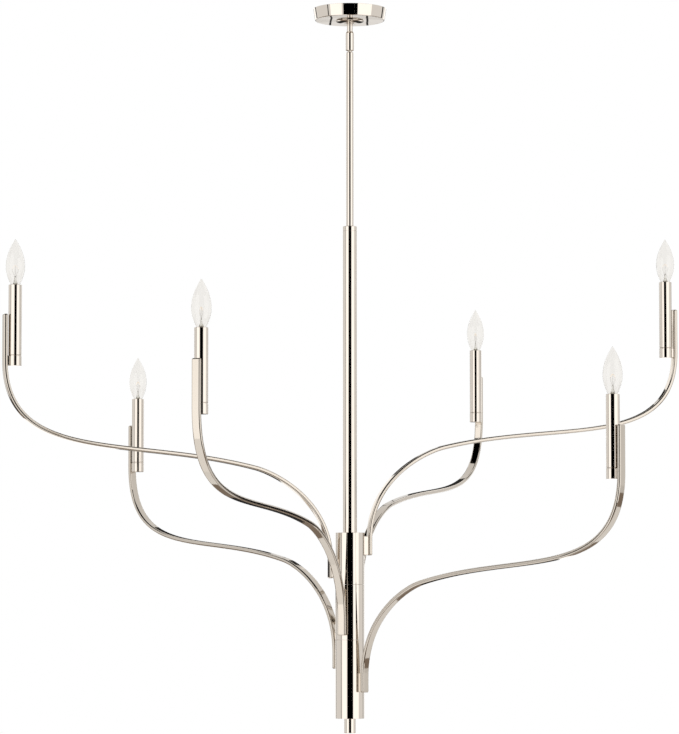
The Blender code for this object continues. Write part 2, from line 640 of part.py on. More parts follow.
def build_hubs(stem):
    arm = arm_mesh()
    cup = cup_mesh()
    candle = candle_meshes()
    finishes = {"socket": PORCELAIN, "sleeve": NICKEL, "bulb_base": BRASS, "bulb_glass": GLASS}
    number = 0
    top = HUB_TOP_Z
    for name, height, direction, arm_offset, foot_drop in HUBS:
        hub = empty(name + "_axis", (0.0, 0.0, top - BALL_Z), math.radians(direction), stem)
        place(name, turned_mesh(name, hub_profile(height), SEGMENTS_LARGE), NICKEL, hub)
        for side in range(2):
            number += 1
            foot = -foot_drop - side * PAIR_STAGGER
            turn = math.pi * side + math.radians(arm_offset) * (2 * side - 1)
            frame = empty(f"arm_{number}_frame", (0.0, 0.0, foot), turn, hub)
            place(f"arm_{number}", arm.copy(), NICKEL, frame)
            place(f"cup_{number}", cup.copy(), NICKEL, frame, (CANDLE_R, 0.0, CANDLE_RISE))
            for kind, mesh in candle.items():
                place(f"{kind}_{number}", mesh.copy(), finishes[kind], frame,
                      (CANDLE_R, 0.0, CANDLE_RISE))
        top -= height + SEAT_GAP


# ----------------------------------------------------------------------------- the whole fixture
clear_scene()
PARTS = new_collection("chandelier")
GUIDES = new_collection("guides")
NICKEL = new_material("polished_nickel", (0.83, 0.78, 0.71), 1.0, 0.06)
ZINC = new_material("zinc_plated_steel", (0.62, 0.62, 0.60), 1.0, 0.35)
GREEN_ZINC = new_material("green_ground_screw", (0.10, 0.42, 0.18), 0.8, 0.35)
BRASS = new_material("brass", (0.78, 0.60, 0.32), 1.0, 0.25)
PORCELAIN = new_material("socket_porcelain", (0.88, 0.87, 0.83), 0.0, 0.30)
GLASS = new_material("clear_glass", (0.98, 0.97, 0.95), 0.0, 0.02, transmission=1.0)

ceiling = empty("ceiling_frame")
swivel_axis = empty("swivel_axis", (0.0, 0.0, BALL_Z), 0.0, ceiling)
stem_axis = empty("stem_axis", (0.0, 0.0, 0.0), 0.0, swivel_axis)
build_ceiling_parts(ceiling)
build_stem(stem_axis, swivel_axis)
build_hubs(stem_axis)
build_finial(stem_axis)
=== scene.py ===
"""Looks of a rigid-stem candle chandelier in polished nickel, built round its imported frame.

Every piece is modelled at its real place, in metres, and rides on the body that carries it.
The sizes that the frame can tell, such as heights and directions, come from its boxes, and the
rest are fields of the class that builds the piece.
"""
from __future__ import annotations

import logging
import math
from dataclasses import dataclass, field
from enum import Enum
from typing import Sequence

import bpy
from mathutils import Matrix, Vector


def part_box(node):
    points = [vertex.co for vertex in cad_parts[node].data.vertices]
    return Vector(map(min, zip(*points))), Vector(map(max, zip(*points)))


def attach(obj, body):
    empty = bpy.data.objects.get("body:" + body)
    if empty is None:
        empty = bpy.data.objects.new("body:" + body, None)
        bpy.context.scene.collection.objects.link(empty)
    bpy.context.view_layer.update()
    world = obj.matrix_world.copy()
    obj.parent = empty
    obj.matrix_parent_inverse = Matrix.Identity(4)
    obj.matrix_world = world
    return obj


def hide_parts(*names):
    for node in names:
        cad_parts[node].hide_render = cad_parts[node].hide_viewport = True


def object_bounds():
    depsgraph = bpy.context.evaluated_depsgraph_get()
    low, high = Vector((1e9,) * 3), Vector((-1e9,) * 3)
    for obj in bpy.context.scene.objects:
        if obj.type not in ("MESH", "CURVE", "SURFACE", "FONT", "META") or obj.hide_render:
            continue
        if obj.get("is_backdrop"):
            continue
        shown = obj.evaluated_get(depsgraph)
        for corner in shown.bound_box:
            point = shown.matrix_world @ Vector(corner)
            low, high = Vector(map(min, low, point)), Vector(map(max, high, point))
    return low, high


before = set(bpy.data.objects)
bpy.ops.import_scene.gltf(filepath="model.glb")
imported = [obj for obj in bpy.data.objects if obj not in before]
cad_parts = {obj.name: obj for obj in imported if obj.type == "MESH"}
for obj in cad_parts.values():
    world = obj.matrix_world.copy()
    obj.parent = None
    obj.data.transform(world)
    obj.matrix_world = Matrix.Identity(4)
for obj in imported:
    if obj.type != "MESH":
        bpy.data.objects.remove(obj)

LOG = logging.getLogger("chandelier")
Colour = tuple[float, float, float]
Place = tuple[float, float, float]
Profile = list[tuple[float, float]]

MM = 0.001
FINE = 0.3 * MM   # the usual chamfer on a turned edge, and the usual gap between two pieces
PLAY = 0.4 * MM   # a plug's play in its tube, and the lead-in of a threaded end
WELD = 1e-6   # vertices closer than this are one
SIDES = 96    # steps of a turned piece
SHARP_ANGLE = math.radians(25.0)
SMOOTH_ANGLE = math.radians(50.0)


class Slot(Enum):
    """The record's material slots."""

    NICKEL = "polished_nickel"
    ZINC = "zinc_steel"
    GREEN = "ground_green"
    BRASS = "brass"
    SOCKET = "socket_white"
    GLASS = "bulb_glass"


# ------------------------------------------------------------------------------ shader bench
class Signal:
    """A number on a shader socket; arithmetic on it adds Math nodes."""

    def __init__(self, bench: Bench, socket: bpy.types.NodeSocket) -> None:
        """Wrap a socket of the bench's node tree."""
        self.bench = bench
        self.socket = socket

    def _with(self, operation: str, first: Feed, second: Feed) -> Signal:
        """Add one Math node.

        Args:
            operation: the Math node's operation.
            first: its first value or link.
            second: its second value or link.

        Returns:
            The node's result.
        """
        made = self.bench.node("ShaderNodeMath", {"operation": operation}, {0: first, 1: second})
        return Signal(self.bench, made.outputs[0])

    def __add__(self, other: Feed) -> Signal:
        """Return self + other."""
        return self._with("ADD", self, other)

    __radd__ = __add__

    def __mul__(self, other: Feed) -> Signal:
        """Return self * other."""
        return self._with("MULTIPLY", self, other)

    __rmul__ = __mul__

    def __pow__(self, other: Feed) -> Signal:
        """Return self ** other."""
        return self._with("POWER", self, other)

    def above(self, level: float) -> Signal:
        """Return 1 where the signal passes the level and 0 elsewhere."""
        return self._with("GREATER_THAN", self, level)


Feed = Signal | bpy.types.NodeSocket | float | tuple


class Board:
    """A node tree under construction."""

    def __init__(self, tree: bpy.types.NodeTree) -> None:
        """Start on a tree."""
        self.tree = tree

    def node(self, kind: str, settings: dict | None = None, sockets: dict | None = None) -> bpy.types.Node:
        """Add a node.

        Args:
            kind: the node's type.
            settings: its properties.
            sockets: the values or links of its inputs, by name or number.

        Returns:
            The new node.
        """
        made = self.tree.nodes.new(kind)
        for key, value in (settings or {}).items():
            setattr(made, key, value)
        for key, value in (sockets or {}).items():
            self.feed(made.inputs[key], value)
        return made

    def feed(self, socket: bpy.types.NodeSocket, value: Feed) -> None:
        """Set a socket's value, or link a signal or an output to it.

        Args:
            socket: the input.
            value: a number, a colour, a signal or an output.
        """
        if isinstance(value, Signal):
            self.tree.links.new(value.socket, socket)
        elif isinstance(value, bpy.types.NodeSocket):
            self.tree.links.new(value, socket)
        elif isinstance(value, tuple) and len(value) == 3 and socket.type == "RGBA":
            socket.default_value = (*value, 1.0)
        else:
            socket.default_value = value


class Bench(Board):
    """A material under construction: its nodes and its Principled shader."""

    def __init__(self, name: str) -> None:
        """Start a node material with one Principled shader.

        Args:
            name: the material's name.
        """
        self.material = bpy.data.materials.new(name)
        self.material.use_nodes = True
        super().__init__(self.material.node_tree)
        self.shader = self.tree.nodes["Principled BSDF"]
        self.place = self.node("ShaderNodeTexCoord").outputs["Object"]

    def surface(self, **values: Feed) -> None:
        """Feed the Principled shader's sockets; an underscore in a name stands for a space."""
        for name, value in values.items():
            self.feed(self.shader.inputs[name.replace("_", " ")], value)

    def noise(self, scale: float, detail: float = 2.0, stretch: Place = (1.0, 1.0, 1.0)) -> Signal:
        """Noise in the piece's own space.

        Args:
            scale: features per metre.
            detail: octaves of finer noise.
            stretch: factors on the three directions; below 1 draws the pattern out.

        Returns:
            The noise, from 0 to 1.
        """
        spot = self.node("ShaderNodeMapping", {}, {"Vector": self.place, "Scale": stretch})
        made = self.node("ShaderNodeTexNoise", {}, {
            "Vector": spot.outputs[0], "Scale": scale, "Detail": detail})
        return Signal(self, made.outputs["Fac"])

    def blend(self, share: Feed, first: Feed, second: Feed) -> bpy.types.NodeSocket:
        """Mix two colours by a share from 0 to 1 and return the result."""
        made = self.node("ShaderNodeMix", {"data_type": "RGBA"}, {0: share, 6: first, 7: second})
        return made.outputs[2]

    def relief(self, height: Signal, depth: float) -> bpy.types.NodeSocket:
        """Turn a height signal into a normal.

        Args:
            height: the relief, from 0 to 1.
            depth: metres between 0 and 1.

        Returns:
            The normal's socket.
        """
        made = self.node("ShaderNodeBump", {}, {"Height": height, "Distance": depth, "Strength": 1.0})
        return made.outputs["Normal"]


# ------------------------------------------------------------------------------ finishes
@dataclass(frozen=True)
class PolishedNickel:
    """Mirror nickel plate: warm, with polishing haze, hairlines and a slight unevenness."""

    name: str = "polished_nickel"
    bright: Colour = (0.775, 0.720, 0.655)
    warm: Colour = (0.725, 0.660, 0.590)
    least_rough: float = 0.006
    haze_rough: float = 0.022
    ripple_depth: float = 0.00025
    hairline_depth: float = 0.0000005
    hairline_rough: float = 0.006
    bloom_scale: float = 9.0
    haze_scale: float = 70.0
    hairline_scale: float = 900.0
    ripple_scale: float = 16.0
    bloom_share: float = 0.7
    haze_share: float = 0.3
    drawn: Place = (1.0, 1.0, 0.05)
    swayed: Place = (1.0, 1.0, 0.35)

    def material(self) -> bpy.types.Material:
        """Build the finish.

        Returns:
            The material.
        """
        bench = Bench(self.name)
        bloom = bench.noise(self.bloom_scale, 3.0)
        haze = bench.noise(self.haze_scale, 4.0)
        hairlines = bench.noise(self.hairline_scale, 3.0, self.drawn)
        ripple = bench.noise(self.ripple_scale, 1.0, self.swayed)
        tone = bench.blend(bloom * self.bloom_share + haze * self.haze_share, self.warm, self.bright)
        rough = haze ** 2.0 * self.haze_rough + hairlines * self.hairline_rough + self.least_rough
        soft = bench.relief(ripple, self.ripple_depth)
        fine = bench.node("ShaderNodeBump", {}, {
            "Height": hairlines, "Distance": self.hairline_depth, "Strength": 1.0, "Normal": soft})
        bench.surface(Base_Color=tone, Metallic=1.0, Roughness=rough, Normal=fine.outputs["Normal"])
        return bench.material


@dataclass(frozen=True)
class PlatedSteel:
    """Satin plate on steel: mottled, with rolling lines and dulled spots."""

    name: str
    light: Colour
    dark: Colour
    rough: float = 0.30
    relief_depth: float = 0.00002
    mottle_scale: float = 220.0
    line_scale: float = 1500.0
    grime_scale: float = 60.0
    mottle_rough: float = 0.12
    line_rough: float = 0.10
    coarse_share: float = 0.6
    fine_share: float = 0.4
    rolled: Place = (0.06, 1.0, 1.0)

    def material(self) -> bpy.types.Material:
        """Build the finish.

        Returns:
            The material.
        """
        bench = Bench(self.name)
        mottle = bench.noise(self.mottle_scale, 5.0)
        lines = bench.noise(self.line_scale, 2.0, self.rolled)
        grime = bench.noise(self.grime_scale, 3.0)
        tone = bench.blend(mottle * self.coarse_share + grime * self.fine_share, self.dark, self.light)
        rough = mottle * self.mottle_rough + lines * self.line_rough + self.rough
        height = lines * self.coarse_share + mottle * self.fine_share
        bench.surface(Base_Color=tone, Metallic=1.0, Roughness=rough,
                      Normal=bench.relief(height, self.relief_depth))
        return bench.material


@dataclass(frozen=True)
class Porcelain:
    """Glazed off-white ceramic with faint flecks and a soft orange-peel surface."""

    name: str = "socket_porcelain"
    glaze: Colour = (0.86, 0.84, 0.78)
    fleck: Colour = (0.68, 0.62, 0.52)
    peel_scale: float = 420.0
    fleck_scale: float = 2200.0
    fleck_level: float = 0.72
    fleck_share: float = 0.5
    peel_rough: float = 0.12
    least_rough: float = 0.16
    peel_depth: float = 0.00002
    coat: float = 0.4

    def material(self) -> bpy.types.Material:
        """Build the finish.

        Returns:
            The material.
        """
        bench = Bench(self.name)
        peel = bench.noise(self.peel_scale, 2.0)
        flecks = bench.noise(self.fleck_scale, 1.0).above(self.fleck_level)
        tone = bench.blend(flecks * self.fleck_share, self.glaze, self.fleck)
        bench.surface(Base_Color=tone, Metallic=0.0, Roughness=peel * self.peel_rough + self.least_rough,
                      Normal=bench.relief(peel, self.peel_depth), Coat_Weight=self.coat)
        return bench.material


@dataclass(frozen=True)
class LampGlass:
    """Thin lamp glass with a trace of waviness and a faint warm painted glow: the glass itself gives off
    light.
    """

    name: str = "lamp_glass"
    body: Colour = (0.995, 0.992, 0.985)
    # painted glow: the glass itself emits this faint warm light
    glow: Colour = (1.0, 0.90, 0.78)
    glow_strength: float = 0.018
    smoke: Colour = (0.90, 0.90, 0.89)
    smoke_density: float = 330.0
    wave_depth: float = 0.00004
    wave_scale: float = 90.0
    film_scale: float = 260.0
    film_rough: float = 0.02
    least_rough: float = 0.002
    ior: float = 1.47

    def material(self) -> bpy.types.Material:
        """Build the finish.

        Returns:
            The material.
        """
        bench = Bench(self.name)
        wave = bench.noise(self.wave_scale, 1.0)
        film = bench.noise(self.film_scale, 3.0)
        rough = film ** 3.0 * self.film_rough + self.least_rough
        # the glass's emission is a painted glow laid on the envelope
        bench.surface(Base_Color=self.body, Roughness=rough, IOR=self.ior,
                      Transmission_Weight=1.0, Emission_Color=self.glow,
                      Emission_Strength=self.glow_strength, Normal=bench.relief(wave, self.wave_depth))
        smoke = bench.node("ShaderNodeVolumeAbsorption", {}, {
            "Color": self.smoke, "Density": self.smoke_density})
        bench.feed(bench.tree.nodes["Material Output"].inputs["Volume"], smoke.outputs["Volume"])
        return bench.material


@dataclass(frozen=True)
class LampMetal:
    """Plain lamp metal for wires, shells and contacts, slightly drawn and uneven."""

    name: str
    tone: Colour
    dull: Colour
    rough: float = 0.25
    metallic: float = 1.0
    glow: Colour = (0.0, 0.0, 0.0)
    glow_strength: float = 0.0
    mottle_scale: float = 500.0
    mottle_rough: float = 0.15
    mottle_depth: float = 0.00001

    def material(self) -> bpy.types.Material:
        """Build the finish.

        Returns:
            The material.
        """
        bench = Bench(self.name)
        mottle = bench.noise(self.mottle_scale, 4.0)
        bench.surface(Base_Color=bench.blend(mottle, self.dull, self.tone), Metallic=self.metallic,
                      Roughness=mottle * self.mottle_rough + self.rough, Emission_Color=self.glow,
                      Emission_Strength=self.glow_strength, Normal=bench.relief(mottle, self.mottle_depth))
        return bench.material


@dataclass
class Finishes:
    """One material for each finish, made once and shared, and a darker copy of the nickel for the arms whose
    darkness is painted shade.
    """

    nickel: bpy.types.Material = field(default_factory=lambda: PolishedNickel().material())
    # the arms' nickel is the same plate made darker: painted shade that dims their reflections; only its
    # higher roughness is real
    arm_nickel_painted_darker: bpy.types.Material = field(default_factory=lambda: PolishedNickel(
        "nickel_painted_darker", (0.650, 0.597, 0.535), (0.600, 0.543, 0.472), least_rough=0.055).material())
    zinc: bpy.types.Material = field(default_factory=lambda: PlatedSteel(
        "zinc_plate", (0.66, 0.67, 0.66), (0.50, 0.51, 0.50)).material())
    green: bpy.types.Material = field(default_factory=lambda: PlatedSteel(
        "green_plate", (0.10, 0.46, 0.17), (0.05, 0.28, 0.10), 0.26).material())
    brass: bpy.types.Material = field(default_factory=lambda: PlatedSteel(
        "plain_brass", (0.82, 0.63, 0.33), (0.66, 0.47, 0.22), 0.22).material())
    porcelain: bpy.types.Material = field(default_factory=lambda: Porcelain().material())
    glass: bpy.types.Material = field(default_factory=lambda: LampGlass().material())
    # the mount glass glows a little more: a painted glow in the glass stem
    mount_glass: bpy.types.Material = field(default_factory=lambda: LampGlass(
        "mount_glass", (0.93, 0.94, 0.93), glow_strength=0.03).material())
    lead_wire: bpy.types.Material = field(default_factory=lambda: LampMetal(
        "lead_wire", (0.62, 0.60, 0.58), (0.50, 0.48, 0.46)).material())
    filament: bpy.types.Material = field(default_factory=lambda: LampMetal(
        "filament", (0.60, 0.55, 0.50), (0.45, 0.40, 0.36), 0.4, 1.0, (1.0, 0.78, 0.52), 0.7).material())
    insulator: bpy.types.Material = field(default_factory=lambda: LampMetal(
        "black_insulator", (0.030, 0.028, 0.026), (0.015, 0.014, 0.013), 0.12, 0.0).material())
    solder: bpy.types.Material = field(default_factory=lambda: LampMetal(
        "solder", (0.62, 0.62, 0.63), (0.42, 0.42, 0.43), 0.35).material())


# ------------------------------------------------------------------------------ modelling by operators
def nothing_selected() -> None:
    """Leave edit mode and deselect everything."""
    if bpy.context.object and bpy.context.object.mode != "OBJECT":
        bpy.ops.object.mode_set(mode="OBJECT")
    bpy.ops.object.select_all(action="DESELECT")


def pick(piece: bpy.types.Object) -> None:
    """Make one object the only one selected, and active.

    Args:
        piece: the object.
    """
    nothing_selected()
    piece.select_set(True)
    bpy.context.view_layer.objects.active = piece


def settle(piece: bpy.types.Object) -> bpy.types.Object:
    """Put the object's place, turn and scale into its mesh.

    Args:
        piece: the object.

    Returns:
        The same object.
    """
    pick(piece)
    bpy.ops.object.transform_apply(location=True, rotation=True, scale=True)
    return piece


def apply(piece: bpy.types.Object, kind: str, **settings: object) -> None:
    """Add one modifier with its settings and apply it.

    Args:
        piece: the object.
        kind: the modifier's type.
        settings: its settings, by name.
    """
    pick(piece)
    modifier = piece.modifiers.new(kind.lower(), kind)
    for key, value in settings.items():
        setattr(modifier, key, value)
    bpy.ops.object.modifier_apply(modifier=modifier.name)


def clean(piece: bpy.types.Object) -> None:
    """Merge doubled vertices and turn all faces outwards.

    Args:
        piece: the object.
    """
    pick(piece)
    bpy.ops.object.mode_set(mode="EDIT")
    bpy.ops.mesh.select_all(action="SELECT")
    bpy.ops.mesh.remove_doubles(threshold=WELD)
    bpy.ops.mesh.normals_make_consistent(inside=False)
    bpy.ops.object.mode_set(mode="OBJECT")


def ease_edges(piece: bpy.types.Object, width: float, segments: int = 3) -> None:
    """Round every sharp edge of a piece by the same width.

    Args:
        piece: the piece.
        width: the width of the rounding.
        segments: its steps.
    """
    pick(piece)
    bpy.ops.object.mode_set(mode="EDIT")
    bpy.ops.mesh.select_mode(type="EDGE")
    bpy.ops.mesh.select_all(action="DESELECT")
    bpy.ops.mesh.edges_select_sharp(sharpness=SHARP_ANGLE)
    bpy.ops.mesh.bevel(offset=width, segments=segments, profile=0.5, affect="EDGES", clamp_overlap=True)
    bpy.ops.mesh.select_mode(type="VERT")
    bpy.ops.object.mode_set(mode="OBJECT")


def finish_surface(piece: bpy.types.Object, material: bpy.types.Material) -> bpy.types.Object:
    """Shade a piece smooth with its flats kept flat, and give it its material.

    Args:
        piece: the piece.
        material: its finish.

    Returns:
        The same piece.
    """
    pick(piece)
    bpy.ops.object.shade_smooth_by_angle(angle=SMOOTH_ANGLE)
    apply(piece, "WEIGHTED_NORMAL", mode="FACE_AREA", weight=50, keep_sharp=True)
    piece.data.materials.clear()
    piece.data.materials.append(material)
    return piece


def turned(name: str, profile: Profile, closed: bool = True, sides: int = SIDES,
           edge: float = 0.0) -> bpy.types.Object:
    """Spin a profile about the Z axis.

    Args:
        name: the piece's name.
        profile: its points, each a radius and a height.
        closed: whether the last point joins the first; otherwise both lie on the axis.
        sides: steps of the spin.
        edge: the rounding of its sharp edges.

    Returns:
        The turned piece.
    """
    nothing_selected()
    start = profile[0]
    bpy.ops.mesh.primitive_circle_add(vertices=3, radius=MM, location=(start[0], 0.0, start[1]))
    piece = bpy.context.object
    piece.name = name
    settle(piece)
    bpy.ops.object.mode_set(mode="EDIT")
    bpy.ops.mesh.select_all(action="SELECT")
    bpy.ops.mesh.merge(type="CENTER")
    route = profile[1:] + (profile[:1] if closed else [])
    here = start
    for there in route:
        move = (there[0] - here[0], 0.0, there[1] - here[1])
        bpy.ops.mesh.extrude_vertices_move(TRANSFORM_OT_translate={"value": move})
        here = there
    bpy.ops.mesh.select_all(action="SELECT")
    bpy.ops.mesh.spin(steps=sides, angle=math.tau, center=(0.0, 0.0, 0.0), axis=(0.0, 0.0, 1.0),
                      use_auto_merge=True)
    bpy.ops.object.mode_set(mode="OBJECT")
    clean(piece)
    if edge:
        ease_edges(piece, edge)
    return piece


def block(name: str, size: Place, centre: Place, edge: float) -> bpy.types.Object:
    """Add a block with rounded edges.

    Args:
        name: the piece's name.
        size: its three sizes.
        centre: its middle.
        edge: the rounding of its edges.

    Returns:
        The block.
    """
    nothing_selected()
    bpy.ops.mesh.primitive_cube_add(size=1.0, location=centre, scale=size)
    piece = bpy.context.object
    piece.name = name
    settle(piece)
    ease_edges(piece, edge)
    return piece


def drill(piece: bpy.types.Object, radius: float, centre: Place, depth: float, sides: int = 48) -> None:
    """Cut a round hole along Z through a piece.

    Args:
        piece: the piece.
        radius: the hole's radius.
        centre: the hole's middle.
        depth: its length.
        sides: the hole's sides.
    """
    nothing_selected()
    bpy.ops.mesh.primitive_cylinder_add(vertices=sides, radius=radius, depth=depth, location=centre)
    tool = bpy.context.object
    apply(piece, "BOOLEAN", operation="DIFFERENCE", solver="EXACT", object=tool)
    bpy.data.objects.remove(tool)


def join_solid(piece: bpy.types.Object, other: bpy.types.Object) -> None:
    """Unite another solid with a piece and remove the other."""
    apply(piece, "BOOLEAN", operation="UNION", solver="EXACT", object=other)
    bpy.data.objects.remove(other)


def wire(name: str, points: Sequence[Vector], radius: float, sides: int = 3,
         smooth: bool = True) -> bpy.types.Object:
    """Draw a round wire through points.

    Args:
        name: the piece's name.
        points: its route.
        radius: the wire's radius.
        sides: the bevel's resolution.
        smooth: whether the route is a smooth curve through its points.

    Returns:
        The wire as a mesh.
    """
    nothing_selected()
    bpy.ops.curve.primitive_bezier_curve_add()
    route = bpy.context.object
    route.name = name
    curve = route.data
    curve.splines.clear()
    spline = curve.splines.new("NURBS" if smooth else "POLY")
    spline.points.add(len(points) - 1)
    for knot, point in zip(spline.points, points):
        knot.co = (*point, 1.0)
    if smooth:
        spline.order_u = 3
        spline.use_endpoint_u = True
        curve.resolution_u = 6
    curve.bevel_depth = radius
    curve.bevel_resolution = sides
    curve.use_fill_caps = True
    pick(route)
    bpy.ops.object.convert(target="MESH")
    piece = bpy.context.object
    clean(piece)
    return piece


def copied(piece: bpy.types.Object, name: str, place: Matrix) -> bpy.types.Object:
    """Copy a piece with its own mesh to a place.

    Args:
        piece: the piece as modelled, at the origin.
        name: the copy's name.
        place: the copy's place and turn.

    Returns:
        The copy, its place in its mesh.
    """
    pick(piece)
    bpy.ops.object.duplicate(linked=False)
    copy = bpy.context.object
    copy.name = name
    copy.matrix_world = place
    return settle(copy)


def cut_thread(piece: bpy.types.Object, low: float, high: float, pitch: float, depth: float,
               run_out: float) -> None:
    """Sink a helical groove into the outer wall of a turned piece that has close rings there.

    Args:
        piece: the turned piece.
        low: the thread's lower end.
        high: its upper end.
        pitch: metres from crest to crest.
        depth: the groove's depth.
        run_out: the height over which the thread fades at each end.
    """
    for vertex in piece.data.vertices:
        x, y, z = vertex.co
        radius = math.hypot(x, y)
        if radius < WELD or not low < z < high:
            continue
        fade = min(1.0, (z - low) / run_out, (high - z) / run_out)
        turn = z / pitch - math.atan2(y, x) / math.tau
        sink = depth * fade * (0.5 - 0.5 * math.cos(math.tau * turn))
        vertex.co.x = x * (radius - sink) / radius
        vertex.co.y = y * (radius - sink) / radius


def stepped(radius: float, start: float, end: float, step: float) -> Profile:
    """Points down or up a straight wall at close steps, for a thread to be cut into."""
    count = max(1, round(abs(end - start) / step))
    return [(radius, start + (end - start) * i / count) for i in range(count + 1)]


def bezier(start: Vector, out: Vector, back: Vector, end: Vector, steps: int) -> list[Vector]:
    """Draw one cubic span.

    Args:
        start: where it starts; this point is left out.
        out: the start's handle.
        back: the end's handle.
        end: where it ends.
        steps: the number of points.

    Returns:
        The points.
    """
    points = []
    for i in range(1, steps + 1):
        t = i / steps
        s = 1.0 - t
        points.append(start * s ** 3 + out * 3 * s * s * t + back * 3 * s * t * t + end * t ** 3)
    return points


def curved(start: tuple, out: tuple, back: tuple, end: tuple, steps: int) -> Profile:
    """Profile points of one cubic span, its start left out."""
    return [tuple(point) for point in bezier(Vector(start), Vector(out), Vector(back), Vector(end), steps)]


def arc(centre: tuple[float, float], radius: float, start: float, end: float, steps: int) -> Profile:
    """Points of a circular arc in a profile, its angles in degrees from the outward direction."""
    turn = [math.radians(start + (end - start) * i / steps) for i in range(steps + 1)]
    return [(centre[0] + radius * math.cos(a), centre[1] + radius * math.sin(a)) for a in turn]


def low_high(node: str) -> tuple[float, float]:
    """The lowest and highest Z of a frame node."""
    low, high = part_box(node)
    return low.z, high.z


def hand_over(piece: bpy.types.Object, body: str, slot: Slot, *nodes: str) -> None:
    """Fix a finished piece to its body, in place of frame nodes, and report it.

    Args:
        piece: the piece.
        body: the body it rides on.
        slot: its material slot; not used.
        nodes: the frame nodes it stands for.
    """
    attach(piece, body)
    if nodes:
        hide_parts(*nodes)
    LOG.info("%s rides on %s, %d faces", piece.name, body, len(piece.data.polygons))


def deliver(piece: bpy.types.Object, material: bpy.types.Material, body: str, slot: Slot,
            *nodes: str) -> None:
    """Finish a piece's surface and hand it over."""
    hand_over(finish_surface(piece, material), body, slot, *nodes)


# ------------------------------------------------------------------------------ ceiling fittings
@dataclass
class CeilingFittings:
    """Crossbar, its screws, the nipple and its lock nut: what the canopy hides."""

    finishes: Finishes
    bar_corner: float = 4.0 * MM
    bar_edge: float = 0.25 * MM
    screw_hole: float = 2.3 * MM
    nipple_radius: float = 5.15 * MM
    nipple_bore: float = 3.5 * MM
    thread_pitch: float = 0.94 * MM
    thread_depth: float = 0.28 * MM
    head_radius: float = 4.0 * MM
    head_height: float = 2.4 * MM
    head_rim: float = 1.1 * MM
    shank_radius: float = 2.0 * MM
    screw_pitch: float = 0.8 * MM
    screw_depth: float = 0.25 * MM
    slot_width: float = 1.0 * MM
    slot_depth: float = 1.8 * MM
    slot_turn: float = 35.0
    body: str = "ceiling_mount"

    def build(self) -> None:
        """Build every fitting."""
        self.crossbar()
        self.nipple()
        self.lock_nut()
        for node, material, slot in (("box_screw_1", self.finishes.zinc, Slot.ZINC),
                                     ("box_screw_2", self.finishes.zinc, Slot.ZINC),
                                     ("ground_screw", self.finishes.green, Slot.GREEN)):
            self.screw(node, material, slot)

    def crossbar(self) -> None:
        """A flat bar with round corners, drilled where the frame's screws and nipple stand."""
        low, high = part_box("crossbar")
        centre = (low + high) / 2
        nothing_selected()
        bpy.ops.mesh.primitive_cube_add(size=1.0, location=centre, scale=tuple(high - low))
        bar = bpy.context.object
        bar.name = "ceiling_crossbar"
        settle(bar)
        bpy.ops.object.mode_set(mode="EDIT")
        bpy.ops.mesh.select_mode(type="EDGE")
        bpy.ops.mesh.select_all(action="DESELECT")
        bpy.ops.object.mode_set(mode="OBJECT")
        for edge in bar.data.edges:
            ends = [bar.data.vertices[i].co for i in edge.vertices]
            edge.select = abs(ends[0].z - ends[1].z) > WELD
        bpy.ops.object.mode_set(mode="EDIT")
        bpy.ops.mesh.bevel(offset=self.bar_corner, segments=8, affect="EDGES")
        bpy.ops.object.mode_set(mode="OBJECT")
        depth = (high.z - low.z) * 3
        drill(bar, self.nipple_radius + FINE, centre, depth)
        for node in ("box_screw_1", "box_screw_2", "ground_screw"):
            a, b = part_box(node)
            drill(bar, self.screw_hole, ((a.x + b.x) / 2, 0.0, centre.z), depth, 32)
        clean(bar)
        ease_edges(bar, self.bar_edge, 2)
        deliver(bar, self.finishes.zinc, self.body, Slot.ZINC, "crossbar")

    def nipple(self) -> None:
        """Threaded pipe, smooth and polished where it shows below the collar."""
        low, high = low_high("nipple")
        step = self.thread_pitch / 6
        thread_end = low_high("canopy_collar")[0]
        profile = [(self.nipple_radius - PLAY, high)]
        profile += stepped(self.nipple_radius, high - PLAY, thread_end, step)
        profile += [(self.nipple_radius, low), (self.nipple_bore, low), (self.nipple_bore, high)]
        pipe = turned("ceiling_nipple", profile, sides=48)
        cut_thread(pipe, thread_end, high, self.thread_pitch, self.thread_depth, self.thread_pitch)
        deliver(pipe, self.finishes.nickel, self.body, Slot.NICKEL, "nipple")

    def lock_nut(self) -> None:
        """A hexagon nut with its corners turned off."""
        low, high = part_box("nipple_lock_nut")
        nut = hexagon_nut("nipple_nut", high.x - low.x, low.z, high.z, self.nipple_radius + FINE)
        deliver(nut, self.finishes.zinc, self.body, Slot.ZINC, "nipple_lock_nut")

    def screw(self, node: str, material: bpy.types.Material, slot: Slot) -> None:
        """Build a pan-head machine screw with a driver slot, its head down.

        Args:
            node: the frame node it stands for.
            material: its finish.
            slot: its material slot.
        """
        low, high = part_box(node)
        head_top, rim = low.z + self.head_height, low.z + self.head_rim
        crown = curved((self.head_radius, rim), (self.head_radius, low.z + FINE),
                       (self.head_radius * 0.6, low.z), (0.0, low.z), 8)
        pitch = self.screw_pitch
        profile = [(0.0, high.z), (self.shank_radius - FINE, high.z)]
        profile += stepped(self.shank_radius, high.z - FINE, head_top, pitch / 5)
        profile += [(self.head_radius, head_top), (self.head_radius, rim)] + crown
        made = turned(f"{node}_slotted", profile, closed=False, sides=36)
        cut_thread(made, head_top + 0.1 * MM, high.z, pitch, self.screw_depth, pitch / 2)
        nothing_selected()
        bpy.ops.mesh.primitive_cube_add(size=1.0, location=(0.0, 0.0, low.z),
                                        scale=(self.head_radius * 3, self.slot_width, self.slot_depth))
        tool = bpy.context.object
        tool.rotation_euler.z = math.radians(self.slot_turn)
        settle(tool)
        apply(made, "BOOLEAN", operation="DIFFERENCE", solver="EXACT", object=tool)
        bpy.data.objects.remove(tool)
        made.location = ((low.x + high.x) / 2, 0.0, 0.0)
        settle(made)
        deliver(made, material, self.body, slot, node)


